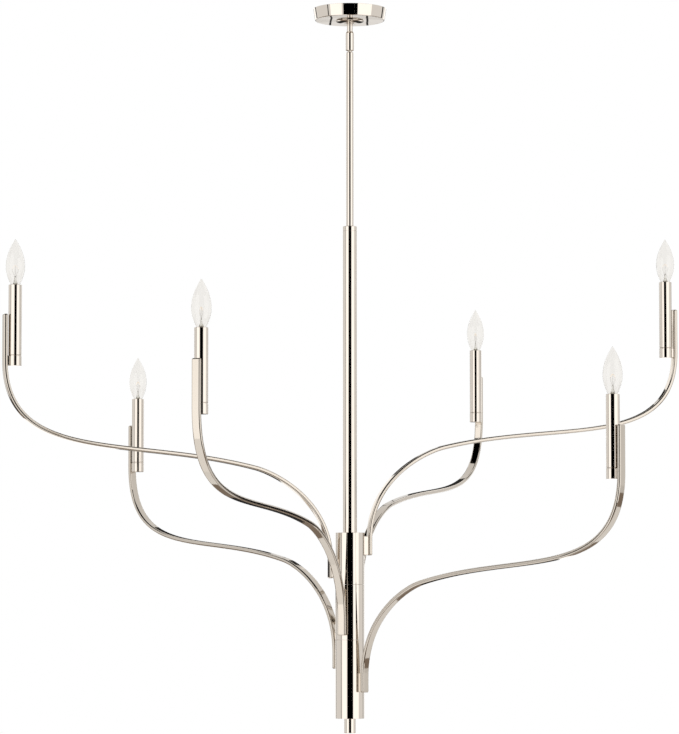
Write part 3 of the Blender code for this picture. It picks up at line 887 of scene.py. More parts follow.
def hexagon_nut(name: str, flats: float, low: float, high: float, bore: float) -> bpy.types.Object:
    """Model a hexagon nut about the Z axis.

    Args:
        name: the piece's name.
        flats: its width across flats.
        low: the height of its lower face.
        high: the height of its upper face.
        bore: the radius of its hole.

    Returns:
        The nut, its bore countersunk and its corners turned off.
    """
    corner = flats / math.sqrt(3)
    height = high - low
    nothing_selected()
    bpy.ops.mesh.primitive_cylinder_add(vertices=6, radius=corner, depth=height,
                                        location=(0.0, 0.0, (low + high) / 2))
    nut = bpy.context.object
    nut.name = name
    settle(nut)
    turn_off = (corner - flats / 2) * 0.6
    cone = turned("nut_envelope", [(0.0, high), (flats / 2, high), (corner, high - turn_off),
                                   (corner, low + turn_off), (flats / 2, low), (0.0, low)], closed=False)
    apply(nut, "BOOLEAN", operation="INTERSECT", solver="EXACT", object=cone)
    bpy.data.objects.remove(cone)
    sink = 0.5 * MM
    hole = turned("nut_bore", [(0.0, high + MM), (bore + sink + MM, high + MM), (bore, high - sink),
                               (bore, low + sink), (bore + sink + MM, low - MM), (0.0, low - MM)],
                  closed=False)
    apply(nut, "BOOLEAN", operation="DIFFERENCE", solver="EXACT", object=hole)
    bpy.data.objects.remove(hole)
    clean(nut)
    return nut


# ------------------------------------------------------------------------------ canopy
@dataclass
class Canopy:
    """The drawn pan against the ceiling, and the domed collar that holds it up."""

    finishes: Finishes
    rim_radius: float = 63.5 * MM
    foot_radius: float = 60.5 * MM
    wall: float = 1.2 * MM
    corner: float = 1.5 * MM
    hole_radius: float = 5.75 * MM
    collar_radius: float = 24.0 * MM
    collar_edge: float = 1.2 * MM
    collar_hub: float = 7.8 * MM
    collar_lip: float = 0.35 * MM
    rim_break: float = 0.2 * MM
    body: str = "canopy"

    def build(self) -> None:
        """Build the pan and the collar."""
        self.pan()
        self.collar()

    def pan(self) -> None:
        """A shallow pan, its wall leaning in and its corner drawn round."""
        low, high = low_high("canopy")
        foot, corner, wall = self.foot_radius, self.corner, self.wall
        lean = math.degrees(math.atan2(self.rim_radius - foot, high - low))
        outer = [(self.rim_radius - FINE, high), (self.rim_radius, high - FINE)]
        outer += arc((foot - corner, low + corner), corner, -lean, -90.0, 8)
        inner_corner = corner - wall * 0.6
        inner = [(self.hole_radius, low), (self.hole_radius, low + wall)]
        inner += arc((foot - wall - inner_corner, low + wall + inner_corner), inner_corner, -90.0, -lean, 5)
        inner += [(self.rim_radius - wall, high - self.rim_break),
                  (self.rim_radius - wall + self.rim_break, high)]
        pan = turned("canopy_pan", outer + inner, sides=192)
        deliver(pan, self.finishes.nickel, self.body, Slot.NICKEL, "canopy")

    def collar(self) -> None:
        """A low dome that runs into a short hub round the nipple."""
        low, high = low_high("canopy_collar")
        depth = high - low
        rim = (self.collar_radius, high - self.collar_edge)
        dome = curved(rim, (self.collar_radius * 0.86, high - depth * 0.62),
                      (self.collar_radius * 0.60, high - depth * 0.80),
                      (self.collar_hub, high - depth * 0.86), 20)
        lip = self.collar_lip
        profile = [(self.collar_radius - lip, high), (self.collar_radius, high - lip)]
        profile += [rim] + dome
        profile += [(self.collar_hub, low + lip), (self.collar_hub - lip, low),
                    (self.hole_radius + lip, low), (self.hole_radius, low + lip), (self.hole_radius, high)]
        collar = turned("canopy_ring", profile, sides=128)
        deliver(collar, self.finishes.nickel, self.body, Slot.NICKEL, "canopy_collar")


# ------------------------------------------------------------------------------ hanger and column
@dataclass
class Hanger:
    """The hang-straight swivel and the down rod."""

    finishes: Finishes
    housing_radius: float = 7.25 * MM
    housing_chamfer: float = 2.2 * MM
    housing_round: float = 2.0 * MM
    nipple_hole: float = 5.45 * MM
    mouth_radius: float = 5.0 * MM
    ball_radius: float = 5.4 * MM
    ball_play: float = FINE
    ball_above_mouth: float = 4.2 * MM
    neck_radius: float = 3.5 * MM
    wire_way: float = 1.6 * MM
    housing_bore: float = 3.5 * MM
    mouth_break: float = 0.2 * MM
    crown_edge: float = 0.5 * MM
    waist_in: float = 0.5 * MM
    waist_end: float = 0.6 * MM
    ball_headroom: float = 1.5 * MM
    seat_steps: int = 6
    rod_radius: float = 6.35 * MM
    rod_bore: float = 4.5 * MM
    rod_round: float = 1.2 * MM

    def build(self) -> None:
        """Build the housing, the stud and the rod."""
        self.housing()
        self.stud()
        self.rod()

    def ball_height(self) -> float:
        """The height of the ball's centre."""
        return low_high("swivel_housing")[0] + self.ball_above_mouth

    def housing(self) -> None:
        """A sleeve chamfered above and rounded below, open to the ball."""
        low, high = low_high("swivel_housing")
        ball = self.ball_height()
        seat = self.ball_radius + self.ball_play
        drop = math.sqrt(seat ** 2 - self.mouth_radius ** 2)
        wide = self.housing_radius
        nipple_seat = low_high("nipple")[0] - self.ball_play
        profile = [(self.nipple_hole + PLAY, high), (wide - FINE, high - self.housing_chamfer),
                   (wide, high - self.housing_chamfer - self.crown_edge)]
        bend = self.housing_round
        profile += arc((wide - bend, low + bend), bend, 0.0, -90.0, 8)
        profile += [(self.mouth_radius + self.mouth_break, low), (self.mouth_radius, low + self.mouth_break)]
        for i in range(self.seat_steps + 1):
            z = -drop + i * drop / self.seat_steps
            profile.append((math.sqrt(seat ** 2 - z * z), ball + z))
        shelf = ball + seat + self.ball_headroom
        profile += [(seat, shelf), (self.housing_bore, shelf), (self.housing_bore, nipple_seat),
                    (self.nipple_hole, nipple_seat), (self.nipple_hole, high - PLAY)]
        housing = turned("swivel_sleeve", profile)
        deliver(housing, self.finishes.nickel, "swivel", Slot.NICKEL, "swivel_housing")

    def stud(self) -> None:
        """A drilled ball on a waisted neck, with the plug that enters the rod."""
        low, _ = low_high("swivel_stud")
        rod_top = low_high("rod")[1]
        ball = self.ball_height()
        top = math.degrees(math.asin(self.wire_way / self.ball_radius))
        neck = math.degrees(math.asin(self.neck_radius / self.ball_radius))
        plug = self.rod_bore - PLAY
        profile = arc((0.0, ball), self.ball_radius, 90.0 - top, neck - 90.0, 24)
        waist = (self.neck_radius - self.waist_in, (rod_top + ball - self.ball_radius) / 2)
        profile += [waist, (self.neck_radius, rod_top + self.waist_end), (plug, rod_top + FINE),
                    (plug, low + FINE), (plug - FINE, low), (self.wire_way, low)]
        stud = turned("swivel_ball_stud", profile, sides=64)
        deliver(stud, self.finishes.nickel, "stem", Slot.NICKEL, "swivel_stud")

    def rod(self) -> None:
        """A plain tube with softly rounded ends."""
        low, high = low_high("rod")
        wide, bend = self.rod_radius, self.rod_round
        profile = arc((wide - bend, high - bend), bend, 90.0, 0.0, 8)
        profile += arc((wide - bend / 2, low + bend / 2), bend / 2, 0.0, -90.0, 5)
        profile += [(self.rod_bore, low), (self.rod_bore, high)]
        rod = turned("down_rod", profile)
        deliver(rod, self.finishes.nickel, "stem", Slot.NICKEL, "rod")


@dataclass
class Column:
    """The centre tube with its cap, and the pipe and nut that hold the hubs."""

    finishes: Finishes
    tube_radius: float = 12.2 * MM
    tube_bore: float = 10.8 * MM
    cap_bore: float = 4.5 * MM
    pipe_radius: float = 6.35 * MM
    pipe_bore: float = 4.8 * MM
    cap_round: float = 0.7 * MM
    tube_edge: float = 0.12 * MM
    thread_pitch: float = 1.4 * MM
    thread_depth: float = 0.45 * MM
    thread_above_hub: float = 3.0 * MM
    body: str = "stem"

    def build(self) -> None:
        """Build the cap, the tube, the pipe and the nut, and dress the hidden coupler."""
        self.cap()
        self.tube()
        self.pipe()
        self.nut()
        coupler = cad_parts["rod_coupler"]
        coupler.data.materials.clear()
        coupler.data.materials.append(self.finishes.brass)

    def cap(self) -> None:
        """A short turned end piece with a spigot inside the tube."""
        low, high = low_high("tube_cap")
        seam = low_high("centre_tube")[1] + FINE
        wide = self.tube_radius
        spigot = self.tube_bore - PLAY
        hole = self.pipe_radius + PLAY
        pipe_top = low_high("inner_pipe")[1] + FINE
        profile = [(wide, seam), (spigot, seam), (spigot, low), (hole, low), (hole, pipe_top),
                   (self.cap_bore, pipe_top), (self.cap_bore, high)]
        bend = self.cap_round
        profile += arc((wide - bend, high - bend), bend, 90.0, 0.0, 6)
        cap = turned("column_cap", profile)
        deliver(cap, self.finishes.nickel, self.body, Slot.NICKEL, "tube_cap")

    def tube(self) -> None:
        """The long plain tube, its ends just broken."""
        low, high = low_high("centre_tube")
        wide, bore = self.tube_radius, self.tube_bore
        tube = turned("column_tube", [(wide, high), (wide, low), (bore, low), (bore, high)],
                      edge=self.tube_edge)
        deliver(tube, self.finishes.nickel, self.body, Slot.NICKEL, "centre_tube")

    def pipe(self) -> None:
        """The inner pipe, threaded where the finial screws on."""
        low, high = low_high("inner_pipe")
        thread_top = low_high("hub_lower")[0] + self.thread_above_hub
        profile = [(self.pipe_bore, high), (self.pipe_radius, high)]
        profile += stepped(self.pipe_radius, thread_top, low + PLAY, self.thread_pitch / 6)
        profile += [(self.pipe_radius - PLAY, low), (self.pipe_bore, low)]
        pipe = turned("column_pipe", profile, sides=48)
        cut_thread(pipe, low, thread_top, self.thread_pitch, self.thread_depth, self.thread_pitch)
        deliver(pipe, self.finishes.zinc, self.body, Slot.ZINC, "inner_pipe")

    def nut(self) -> None:
        """The hidden nut on which the hubs are drawn up."""
        low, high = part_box("hub_nut")
        nut = hexagon_nut("hub_clamp_nut", high.x - low.x, low.z, high.z, self.pipe_radius + FINE)
        deliver(nut, self.finishes.zinc, self.body, Slot.ZINC, "hub_nut")


@dataclass
class HubStack:
    """Three hollow drums on the pipe and the finial that holds them."""

    finishes: Finishes
    radius: float = 25.0 * MM
    wall: float = 2.5 * MM
    plate: float = 4.0 * MM
    bore: float = 6.65 * MM
    edge: float = 0.22 * MM
    finial_radius: float = 10.0 * MM
    finial_edge: float = 0.6 * MM
    grip: float = 12.6 * MM
    bodies: dict[str, str] = field(default_factory=lambda: {
        "hub_upper": "upper_pair", "hub_middle": "middle_pair", "hub_lower": "lower_pair"})

    def build(self) -> None:
        """Build the drums and the finial."""
        for node, body in self.bodies.items():
            self.drum(node, body)
        self.finial()

    def drum(self, node: str, body: str) -> None:
        """Build a drum with a bored plate at each end.

        Args:
            node: the frame node it stands for.
            body: the body it rides on.
        """
        low, high = low_high(node)
        wide, inner, plate = self.radius, self.radius - self.wall, self.plate
        profile = [(wide, high), (wide, low), (self.bore, low), (self.bore, low + plate),
                   (inner, low + plate), (inner, high - plate), (self.bore, high - plate), (self.bore, high)]
        drum = turned(f"{node}_drum", profile, sides=144, edge=self.edge)
        deliver(drum, self.finishes.nickel, body, Slot.NICKEL, node)

    def finial(self) -> None:
        """A blind turned button, bored inside where it screws onto the pipe."""
        low, high = low_high("finial")
        wide, edge = self.finial_radius, self.finial_edge
        profile = [(0.0, high - self.grip), (self.bore, high - self.grip), (self.bore, high),
                   (wide - edge, high), (wide, high - edge)]
        profile += arc((wide - edge, low + edge), edge, 0.0, -90.0, 6) + [(0.0, low)]
        finial = turned("hub_finial", profile, closed=False)
        deliver(finial, self.finishes.nickel, "finial", Slot.NICKEL, "finial")


# ------------------------------------------------------------------------------ arms
@dataclass
class ArmSet:
    """Six S-bent flat bars, each welded to its hub by a small pad."""

    finishes: Finishes
    hub_radius: float = 25.0 * MM
    pad_depth: float = 7.0 * MM
    pad_width: float = 9.0 * MM
    pad_height: float = 32.0 * MM
    pad_up: float = 0.9 * MM
    pad_sunk: float = 0.05 * MM
    pad_clear: float = 0.25 * MM
    thickness: float = 7.0 * MM
    width: float = 15.0 * MM
    edge: float = 2.6 * MM
    end_edge: float = PLAY
    foot_straight: float = 26.5 * MM
    foot_handle: float = 108.0 * MM
    waist_out: float = 136.5 * MM
    waist_up: float = 188.3 * MM
    waist_slope: float = 0.24
    waist_back: float = 35.0 * MM
    waist_ahead: float = 228.4 * MM
    tip_out: float = 577.5 * MM
    tip_bend_up: float = 364.7 * MM
    tip_handle: float = 180.4 * MM
    bend_steps: int = 64

    def build(self) -> None:
        """Build one bar and pad and copy them to the six places."""
        bar = self.bar()
        pad = self.pad()
        for number in range(1, 7):
            place, body = arm_place(number), arm_body(number)
            made = copied(bar, f"arm_bar_{number}", place)
            hand_over(made, body, Slot.NICKEL, f"arm_{number}")
            hand_over(copied(pad, f"arm_pad_{number}", place), body, Slot.NICKEL)
        for pattern in (bar, pad):
            bpy.data.objects.remove(pattern)

    def bar(self) -> bpy.types.Object:
        """Draw the bar's line, give it width and thickness, and round its edges.

        Returns:
            The bar along X, its foot at height zero.
        """
        foot_x = self.hub_radius + self.pad_depth + self.thickness / 2
        low, high = low_high("arm_1")
        up = Vector((0.0, 1.0))
        along = Vector((1.0, self.waist_slope)).normalized()
        tip_x = foot_x + self.tip_out
        knots = (
            (Vector((foot_x, 0.0)), None, None),
            (Vector((foot_x, self.foot_straight)), None, up * self.foot_handle),
            (Vector((foot_x + self.waist_out, self.waist_up)), -along * self.waist_back,
             along * self.waist_ahead),
            (Vector((tip_x, self.tip_bend_up)), -up * self.tip_handle, None),
            (Vector((tip_x, high - low)), None, None),
        )
        nothing_selected()
        bpy.ops.curve.primitive_bezier_curve_add()
        route = bpy.context.object
        route.name = "arm_pattern"
        curve = route.data
        curve.dimensions = "2D"
        curve.fill_mode = "NONE"
        curve.extrude = self.width / 2
        curve.resolution_u = self.bend_steps
        spline = curve.splines[0]
        spline.bezier_points.add(len(knots) - 2)
        for knot, (point, back, ahead) in zip(spline.bezier_points, knots):
            knot.co = (*point, 0.0)
            knot.handle_left_type = "FREE" if back else "VECTOR"
            knot.handle_right_type = "FREE" if ahead else "VECTOR"
            if back:
                knot.handle_left = (*(point + back), 0.0)
            if ahead:
                knot.handle_right = (*(point + ahead), 0.0)
        route.rotation_euler.x = math.radians(90.0)
        pick(route)
        bpy.ops.object.convert(target="MESH")
        bar = settle(bpy.context.object)
        apply(bar, "SOLIDIFY", thickness=self.thickness, offset=0.0, use_even_offset=True)
        clean(bar)
        self.round_long_edges(bar, high - low)
        ease_edges(bar, self.end_edge, 2)
        # the arms wear the darker copy of the nickel, whose darkness is painted shade
        return finish_surface(bar, self.finishes.arm_nickel_painted_darker)

    def round_long_edges(self, bar: bpy.types.Object, length: float) -> None:
        """Round the four long edges of the bar and leave its ends square.

        Args:
            bar: the bar, its foot at height zero.
            length: the height of its upper end.
        """
        pick(bar)
        bpy.ops.object.mode_set(mode="EDIT")
        bpy.ops.mesh.select_mode(type="EDGE")
        bpy.ops.mesh.select_all(action="DESELECT")
        bpy.ops.mesh.edges_select_sharp(sharpness=SHARP_ANGLE)
        bpy.ops.object.mode_set(mode="OBJECT")
        for edge in bar.data.edges:
            heights = [bar.data.vertices[i].co.z for i in edge.vertices]
            if all(z < WELD for z in heights) or all(z > length - WELD * 10 for z in heights):
                edge.select = False
        bpy.ops.object.mode_set(mode="EDIT")
        bpy.ops.mesh.bevel(offset=self.edge, segments=6, profile=0.5, affect="EDGES", clamp_overlap=True)
        bpy.ops.mesh.select_mode(type="VERT")
        bpy.ops.object.mode_set(mode="OBJECT")

    def pad(self) -> bpy.types.Object:
        """Build a block whose inner face is hollowed to the hub, filling the gap to the bar.

        Returns:
            The pad beside the Z axis.
        """
        start = self.hub_radius - MM
        end = self.hub_radius + self.pad_depth + self.pad_sunk
        pad = block("pad_pattern", (end - start, self.pad_width, self.pad_height),
                    ((start + end) / 2, 0.0, self.pad_height / 2 + self.pad_up), PLAY)
        drill(pad, self.hub_radius + self.pad_clear, (0.0, 0.0, self.pad_height / 2),
              self.pad_height * 2, 192)
        return finish_surface(pad, self.finishes.nickel)


def candle_axis(number: int) -> Vector:
    """The candle's centre in plan, from its sleeve."""
    low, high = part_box(f"sleeve_{number}")
    return Vector(((low.x + high.x) / 2, (low.y + high.y) / 2, 0.0))


def arm_place(number: int) -> Matrix:
    """Find the place of an arm's foot: its direction about the stem and its height.

    Args:
        number: the arm's number.

    Returns:
        The place and turn.
    """
    axis = candle_axis(number)
    turn = math.atan2(axis.y, axis.x)
    return Matrix.Translation((0.0, 0.0, low_high(f"arm_{number}")[0])) @ Matrix.Rotation(turn, 4, "Z")


def arm_body(number: int) -> str:
    """The body that carries an arm."""
    return ("upper_pair", "middle_pair", "lower_pair")[(number - 1) // 2]


# ------------------------------------------------------------------------------ candles
@dataclass
class Candles:
    """Six candles: cup, sleeve, socket and lamp, modelled once about the Z axis and copied."""

    finishes: Finishes
    cup_radius: float = 11.3 * MM
    spigot: float = 9.7 * MM
    cup_height: float = 18.2 * MM
    cup_round: float = 0.6 * MM
    spigot_up: float = 3.0 * MM
    groove_down: float = 1.3 * MM
    groove_depth: float = 0.8 * MM
    groove_half: float = 0.7 * MM
    bridge_width: float = 9.0 * MM
    bar_gap: float = 2.4 * MM
    sleeve_radius: float = 11.1 * MM
    sleeve_bore: float = 10.1 * MM
    sleeve_top: float = 136.0 * MM
    socket_radius: float = 8.5 * MM
    socket_bore: float = 6.5 * MM
    socket_depth: float = 21.0 * MM
    socket_body: float = 36.0 * MM
    post_radius: float = 5.0 * MM
    socket_sunk: float = 4.0 * MM
    socket_lip: float = 0.6 * MM
    shell_sunk: float = 1.2 * MM
    shell_short: float = 3.0 * MM
    shell_gap: float = 0.05 * MM
    shell_in: float = 0.30 * MM
    base_radius: float = 5.9 * MM
    base_height: float = 16.5 * MM
    thread_pitch: float = 2.0 * MM
    neck_radius: float = 6.6 * MM
    belly_radius: float = 16.1 * MM
    belly_up: float = 30.6 * MM
    tip_up: float = 76.6 * MM
    nib: tuple[float, float] = (1.3 * MM, -1.1 * MM)
    shoulder: tuple[float, float] = (5.2 * MM, -9.2 * MM)
    belly_above: float = 21.0 * MM
    belly_below: float = 16.0 * MM
    waist: tuple[float, float] = (2.0 * MM, 8.0 * MM)
    glass_wall: float = 0.55 * MM
    contact_radius: float = 2.2 * MM
    press_radius: float = 2.0 * MM
    flare_radius: float = 5.6 * MM
    lead_apart: float = 1.1 * MM
    lead_spread: float = 5.2 * MM
    base_thread: float = 0.55 * MM
    lead_radius: float = 0.22 * MM
    hook: float = 0.5 * MM
    filament_rise: float = 5.0 * MM
    coil_radius: float = 0.38 * MM
    coil_turns: int = 26
    coil_steps: int = 8
    coil_wire: float = 0.09 * MM
    filament_up: float = 27.0 * MM
    press_up: float = 14.0 * MM

    def build(self) -> None:
        """Build the pattern of each piece and copy it to the six places."""
        fixed: list[tuple[bpy.types.Object, str, Slot, str]] = [
            (self.cup(), "candle_cup", Slot.NICKEL, "cup"),
            (self.sleeve(), "candle_sleeve", Slot.NICKEL, "sleeve"),
            (self.socket(), "lamp_socket", Slot.SOCKET, "socket"),
            (self.socket_shell(), "socket_shell", Slot.BRASS, ""),
        ]
        loose: list[tuple[bpy.types.Object, str, Slot, str]] = [
            (self.base(), "lamp_base", Slot.BRASS, "bulb_base"),
            (self.insulator(), "lamp_insulator", Slot.SOCKET, ""),
            (self.contact(), "lamp_contact", Slot.ZINC, ""),
            (self.glass(), "lamp_glass", Slot.GLASS, "bulb_glass"),
            (self.mount(), "lamp_mount", Slot.GLASS, ""),
            (self.leads(), "lamp_leads", Slot.ZINC, ""),
            (self.filament(), "lamp_filament", Slot.ZINC, ""),
        ]
        for number in range(1, 7):
            axis = candle_axis(number)
            rise = low_high(f"cup_{number}")[0]
            turn = Matrix.Rotation(math.atan2(axis.y, axis.x), 4, "Z")
            place = Matrix.Translation((axis.x, axis.y, rise)) @ turn
            for pieces, body in ((fixed, arm_body(number)), (loose, f"bulb_{number}")):
                for pattern, name, slot, node in pieces:
                    made = copied(pattern, f"{name}_{number}", place)
                    hand_over(made, body, slot, *([f"{node}_{number}"] if node else []))
        for pattern, *_ in fixed + loose:
            bpy.data.objects.remove(pattern)

    def cup(self) -> bpy.types.Object:
        """Turn a cup with a fine groove under its rim, a spigot and a bridge to the bar.

        Returns:
            The pattern.
        """
        wide, high = self.cup_radius, self.cup_height
        groove, sink, half = high - self.groove_down, self.groove_depth, self.groove_half
        profile = [(0.0, high + self.spigot_up), (self.spigot, high + self.spigot_up), (self.spigot, high),
                   (wide - FINE, high), (wide, high - FINE), (wide, groove + half),
                   (wide - sink, groove + PLAY), (wide - sink, groove - PLAY),
                   (wide, groove - half)]
        bend = self.cup_round
        profile += arc((wide - bend, bend), bend, 0.0, -90.0, 5) + [(0.0, 0.0)]
        cup = turned("cup_pattern", profile, closed=False)
        reach = self.sleeve_radius + self.bar_gap - 0.05 * MM
        start = wide * 0.6
        bridge = block("bridge", (reach - start, self.bridge_width, high - 2.4 * MM),
                       ((reach + start) / 2, 0.0, high / 2), 0.5 * MM)
        join_solid(cup, bridge)
        clean(cup)
        return finish_surface(cup, self.finishes.nickel)

    def sleeve(self) -> bpy.types.Object:
        """Turn a thin tube, its upper edge rolled slightly in.

        Returns:
            The pattern.
        """
        low, high = self.cup_height + FINE, self.sleeve_top
        wide, bore = self.sleeve_radius, self.sleeve_bore
        half = (wide - bore) / 2
        profile = arc((wide - half, high - half), half, 0.0, 180.0, 8)
        profile += [(bore, low), (wide - 0.15 * MM, low), (wide, low + 0.15 * MM)]
        return finish_surface(turned("sleeve_pattern", profile), self.finishes.nickel)

    def socket(self) -> bpy.types.Object:
        """Turn a porcelain socket on its post, with a rounded mouth and a shoulder.

        Returns:
            The pattern.
        """
        top = self.sleeve_top - self.socket_sunk
        seat, body = top - self.socket_depth, top - self.socket_body
        post_low = self.cup_height + 3.3 * MM
        lip = self.socket_lip
        profile = [(0.0, seat), (self.socket_bore, seat), (self.socket_bore, top - lip),
                   (self.socket_bore + lip, top), (self.socket_radius - lip, top),
                   (self.socket_radius, top - lip), (self.socket_radius, body + lip),
                   (self.socket_radius - lip, body), (self.post_radius, body),
                   (self.post_radius, post_low), (0.0, post_low)]
        return finish_surface(turned("socket_pattern", profile, closed=False, sides=64),
                              self.finishes.porcelain)

    def socket_shell(self) -> bpy.types.Object:
        """Turn the thin screw shell that lines the socket.

        Returns:
            The pattern.
        """
        top = self.sleeve_top - self.socket_sunk - self.shell_sunk
        bottom = top - self.socket_depth + self.shell_short
        outer, inner = self.socket_bore - self.shell_gap, self.socket_bore - self.shell_in
        profile = [(outer, top), (outer, bottom), (inner, bottom), (inner, top)]
        return finish_surface(turned("shell_pattern", profile, sides=64), self.finishes.brass)

    def base_top(self) -> float:
        """The height of the lamp base's top."""
        return self.sleeve_top - self.socket_sunk

    def base(self) -> bpy.types.Object:
        """Turn the lamp's screw base with a rolled thread.

        Returns:
            The pattern.
        """
        top = self.base_top() - 0.1 * MM
        bottom = top - self.base_height + 4.0 * MM
        wide = self.base_radius
        profile = [(0.0, top), (wide - PLAY, top)]
        profile += stepped(wide, top - 0.5 * MM, bottom + 0.8 * MM, self.thread_pitch / 10)
        profile += [(wide - 1.2 * MM, bottom), (0.0, bottom)]
        base = turned("base_pattern", profile, closed=False, sides=64)
        cut_thread(base, bottom + MM, top - 1.5 * MM, self.thread_pitch, self.base_thread,
                   self.thread_pitch / 2)
        return finish_surface(base, self.finishes.brass)

    def insulator(self) -> bpy.types.Object:
        """Turn the dark glass ring between the shell and the contact.

        Returns:
            The pattern.
        """
        top = self.base_top() - self.base_height + 3.9 * MM
        bottom = top - 2.4 * MM
        profile = [(0.0, top), (self.base_radius - 1.3 * MM, top)]
        profile += curved((self.base_radius - 1.3 * MM, top), (self.base_radius - 1.6 * MM, top - 1.4 * MM),
                          (3.4 * MM, bottom), (2.4 * MM, bottom), 8)
        profile.append((0.0, bottom))
        return finish_surface(turned("insulator_pattern", profile, closed=False, sides=64),
                              self.finishes.insulator)

    def contact(self) -> bpy.types.Object:
        """Turn the soldered contact button.

        Returns:
            The pattern.
        """
        bottom = self.base_top() - self.base_height
        top = bottom + 1.4 * MM
        wide = self.contact_radius
        profile = [(0.0, top), (wide, top)]
        profile += curved((wide, top), (wide, bottom + FINE), (1.2 * MM, bottom), (0.0, bottom), 8)
        return finish_surface(turned("contact_pattern", profile, closed=False, sides=48),
                              self.finishes.solder)

    def glass_line(self, inset: float) -> Profile:
        """One side of the lamp's glass, from its tip down to its neck.

        Args:
            inset: how far the line is drawn in from the outer surface.

        Returns:
            The line's points.
        """
        tip = Vector((0.0, self.sleeve_top + self.tip_up - inset))
        belly = Vector((self.belly_radius - inset, self.sleeve_top + self.belly_up))
        neck = Vector((self.neck_radius - inset, self.base_top() + FINE))
        nib = tip + Vector(self.nib)
        side = [tip] + bezier(tip, tip + Vector((0.8 * MM, 0.0)), nib + Vector((-FINE, 0.6 * MM)), nib, 5)
        side += bezier(nib, nib + Vector(self.shoulder), belly + Vector((0.0, self.belly_above)), belly, 30)
        side += bezier(belly, belly - Vector((0.0, self.belly_below)), neck + Vector(self.waist), neck, 22)
        return [tuple(point) for point in side]

    def glass(self) -> bpy.types.Object:
        """The lamp's thin flame-shaped envelope."""
        profile = self.glass_line(0.0) + list(reversed(self.glass_line(self.glass_wall)))
        return finish_surface(turned("glass_pattern", profile, closed=False, sides=80), self.finishes.glass)

    def mount(self) -> bpy.types.Object:
        """Build the inner glass stem: a flare that rises to a flattened press.

        Returns:
            The pattern.
        """
        low = self.base_top() + 0.6 * MM
        top = self.sleeve_top + self.press_up
        wide = self.press_radius
        profile = [(0.0, top)]
        profile += curved((0.0, top), (1.8 * MM, top), (wide, top - 1.0 * MM), (wide, top - 4.0 * MM), 8)
        profile += curved((wide, top - 4.0 * MM), (wide, top - 9.0 * MM), (4.6 * MM, low + 5.0 * MM),
                          (self.flare_radius, low), 12)
        profile.append((0.0, low))
        stem = turned("mount_pattern", profile, closed=False, sides=48)
        for vertex in stem.data.vertices:
            press = max(0.0, min(1.0, (vertex.co.z - top + 9.0 * MM) / (6.0 * MM)))
            vertex.co.y *= 1.0 - 0.5 * press
        return finish_surface(stem, self.finishes.mount_glass)

    def lead_tip(self, side: int) -> Vector:
        """Where a lead meets the filament; side is -1 or 1."""
        return Vector((side * self.lead_spread, 0.0, self.sleeve_top + self.filament_up))

    def leads(self) -> bpy.types.Object:
        """Draw two lead wires and a hooked centre support, joined as one piece.

        Returns:
            The pattern.
        """
        press = self.sleeve_top + self.press_up
        apart, hook = self.lead_apart, self.hook
        runs = []
        for side in (-1, 1):
            tip = self.lead_tip(side)
            runs.append([Vector((side * apart, 0.0, press - 5.0 * MM)), Vector((side * apart, 0.0, press)),
                         Vector((side * 2.4 * MM, 0.0, press + 4.0 * MM)),
                         tip - Vector((0.0, 0.0, 4.0 * MM)), tip, tip + Vector((-side * hook, 0.0, hook))])
        crest = self.sleeve_top + self.filament_up + self.filament_rise
        runs.append([Vector((0.0, 0.0, press - 2.0 * MM)), Vector((0.0, 0.0, press + 6.0 * MM)),
                     Vector((0.0, 0.0, crest - 1.5 * MM)), Vector((0.0, hook, crest - hook)),
                     Vector((0.0, 0.0, crest + hook)), Vector((0.0, -hook, crest - FINE))])
        made = [wire(f"lead_{i}", run, self.lead_radius) for i, run in enumerate(runs)]
        bead = turned("lead_bead", [(0.0, press + 1.2 * MM), (0.9 * MM, press + 0.6 * MM), (apart, press),
                                    (0.9 * MM, press - 0.6 * MM), (0.0, press - 1.2 * MM)],
                      closed=False, sides=24)
        nothing_selected()
        for piece in made + [bead]:
            piece.select_set(True)
        bpy.context.view_layer.objects.active = made[0]
        bpy.ops.object.join()
        return finish_surface(bpy.context.object, self.finishes.lead_wire)

    def filament(self) -> bpy.types.Object:
        """Draw a coiled filament that arches from lead to lead over its support.

        Returns:
            The pattern.
        """
        left, right = self.lead_tip(-1), self.lead_tip(1)
        rise, coil, turns, per_turn = self.filament_rise, self.coil_radius, self.coil_turns, self.coil_steps
        points = []
        for i in range(turns * per_turn + 1):
            share = i / (turns * per_turn)
            spin = math.tau * turns * share
            middle = left.lerp(right, share) + Vector((0.0, 0.0, rise * math.sin(math.pi * share)))
            points.append(middle + Vector((0.0, coil * math.cos(spin), coil * math.sin(spin))))
        return finish_surface(wire("filament_pattern", points, self.coil_wire, 1, smooth=False),
                              self.finishes.filament)


# ------------------------------------------------------------------------------ studio
@dataclass(frozen=True)
class Card:
    """An upright or lying card in the studio, seen only in reflections."""

    name: str
    centre: Place
    width: float
    height: float
    facing: float
    level: float
    tone: Colour = (1.0, 0.99, 0.975)


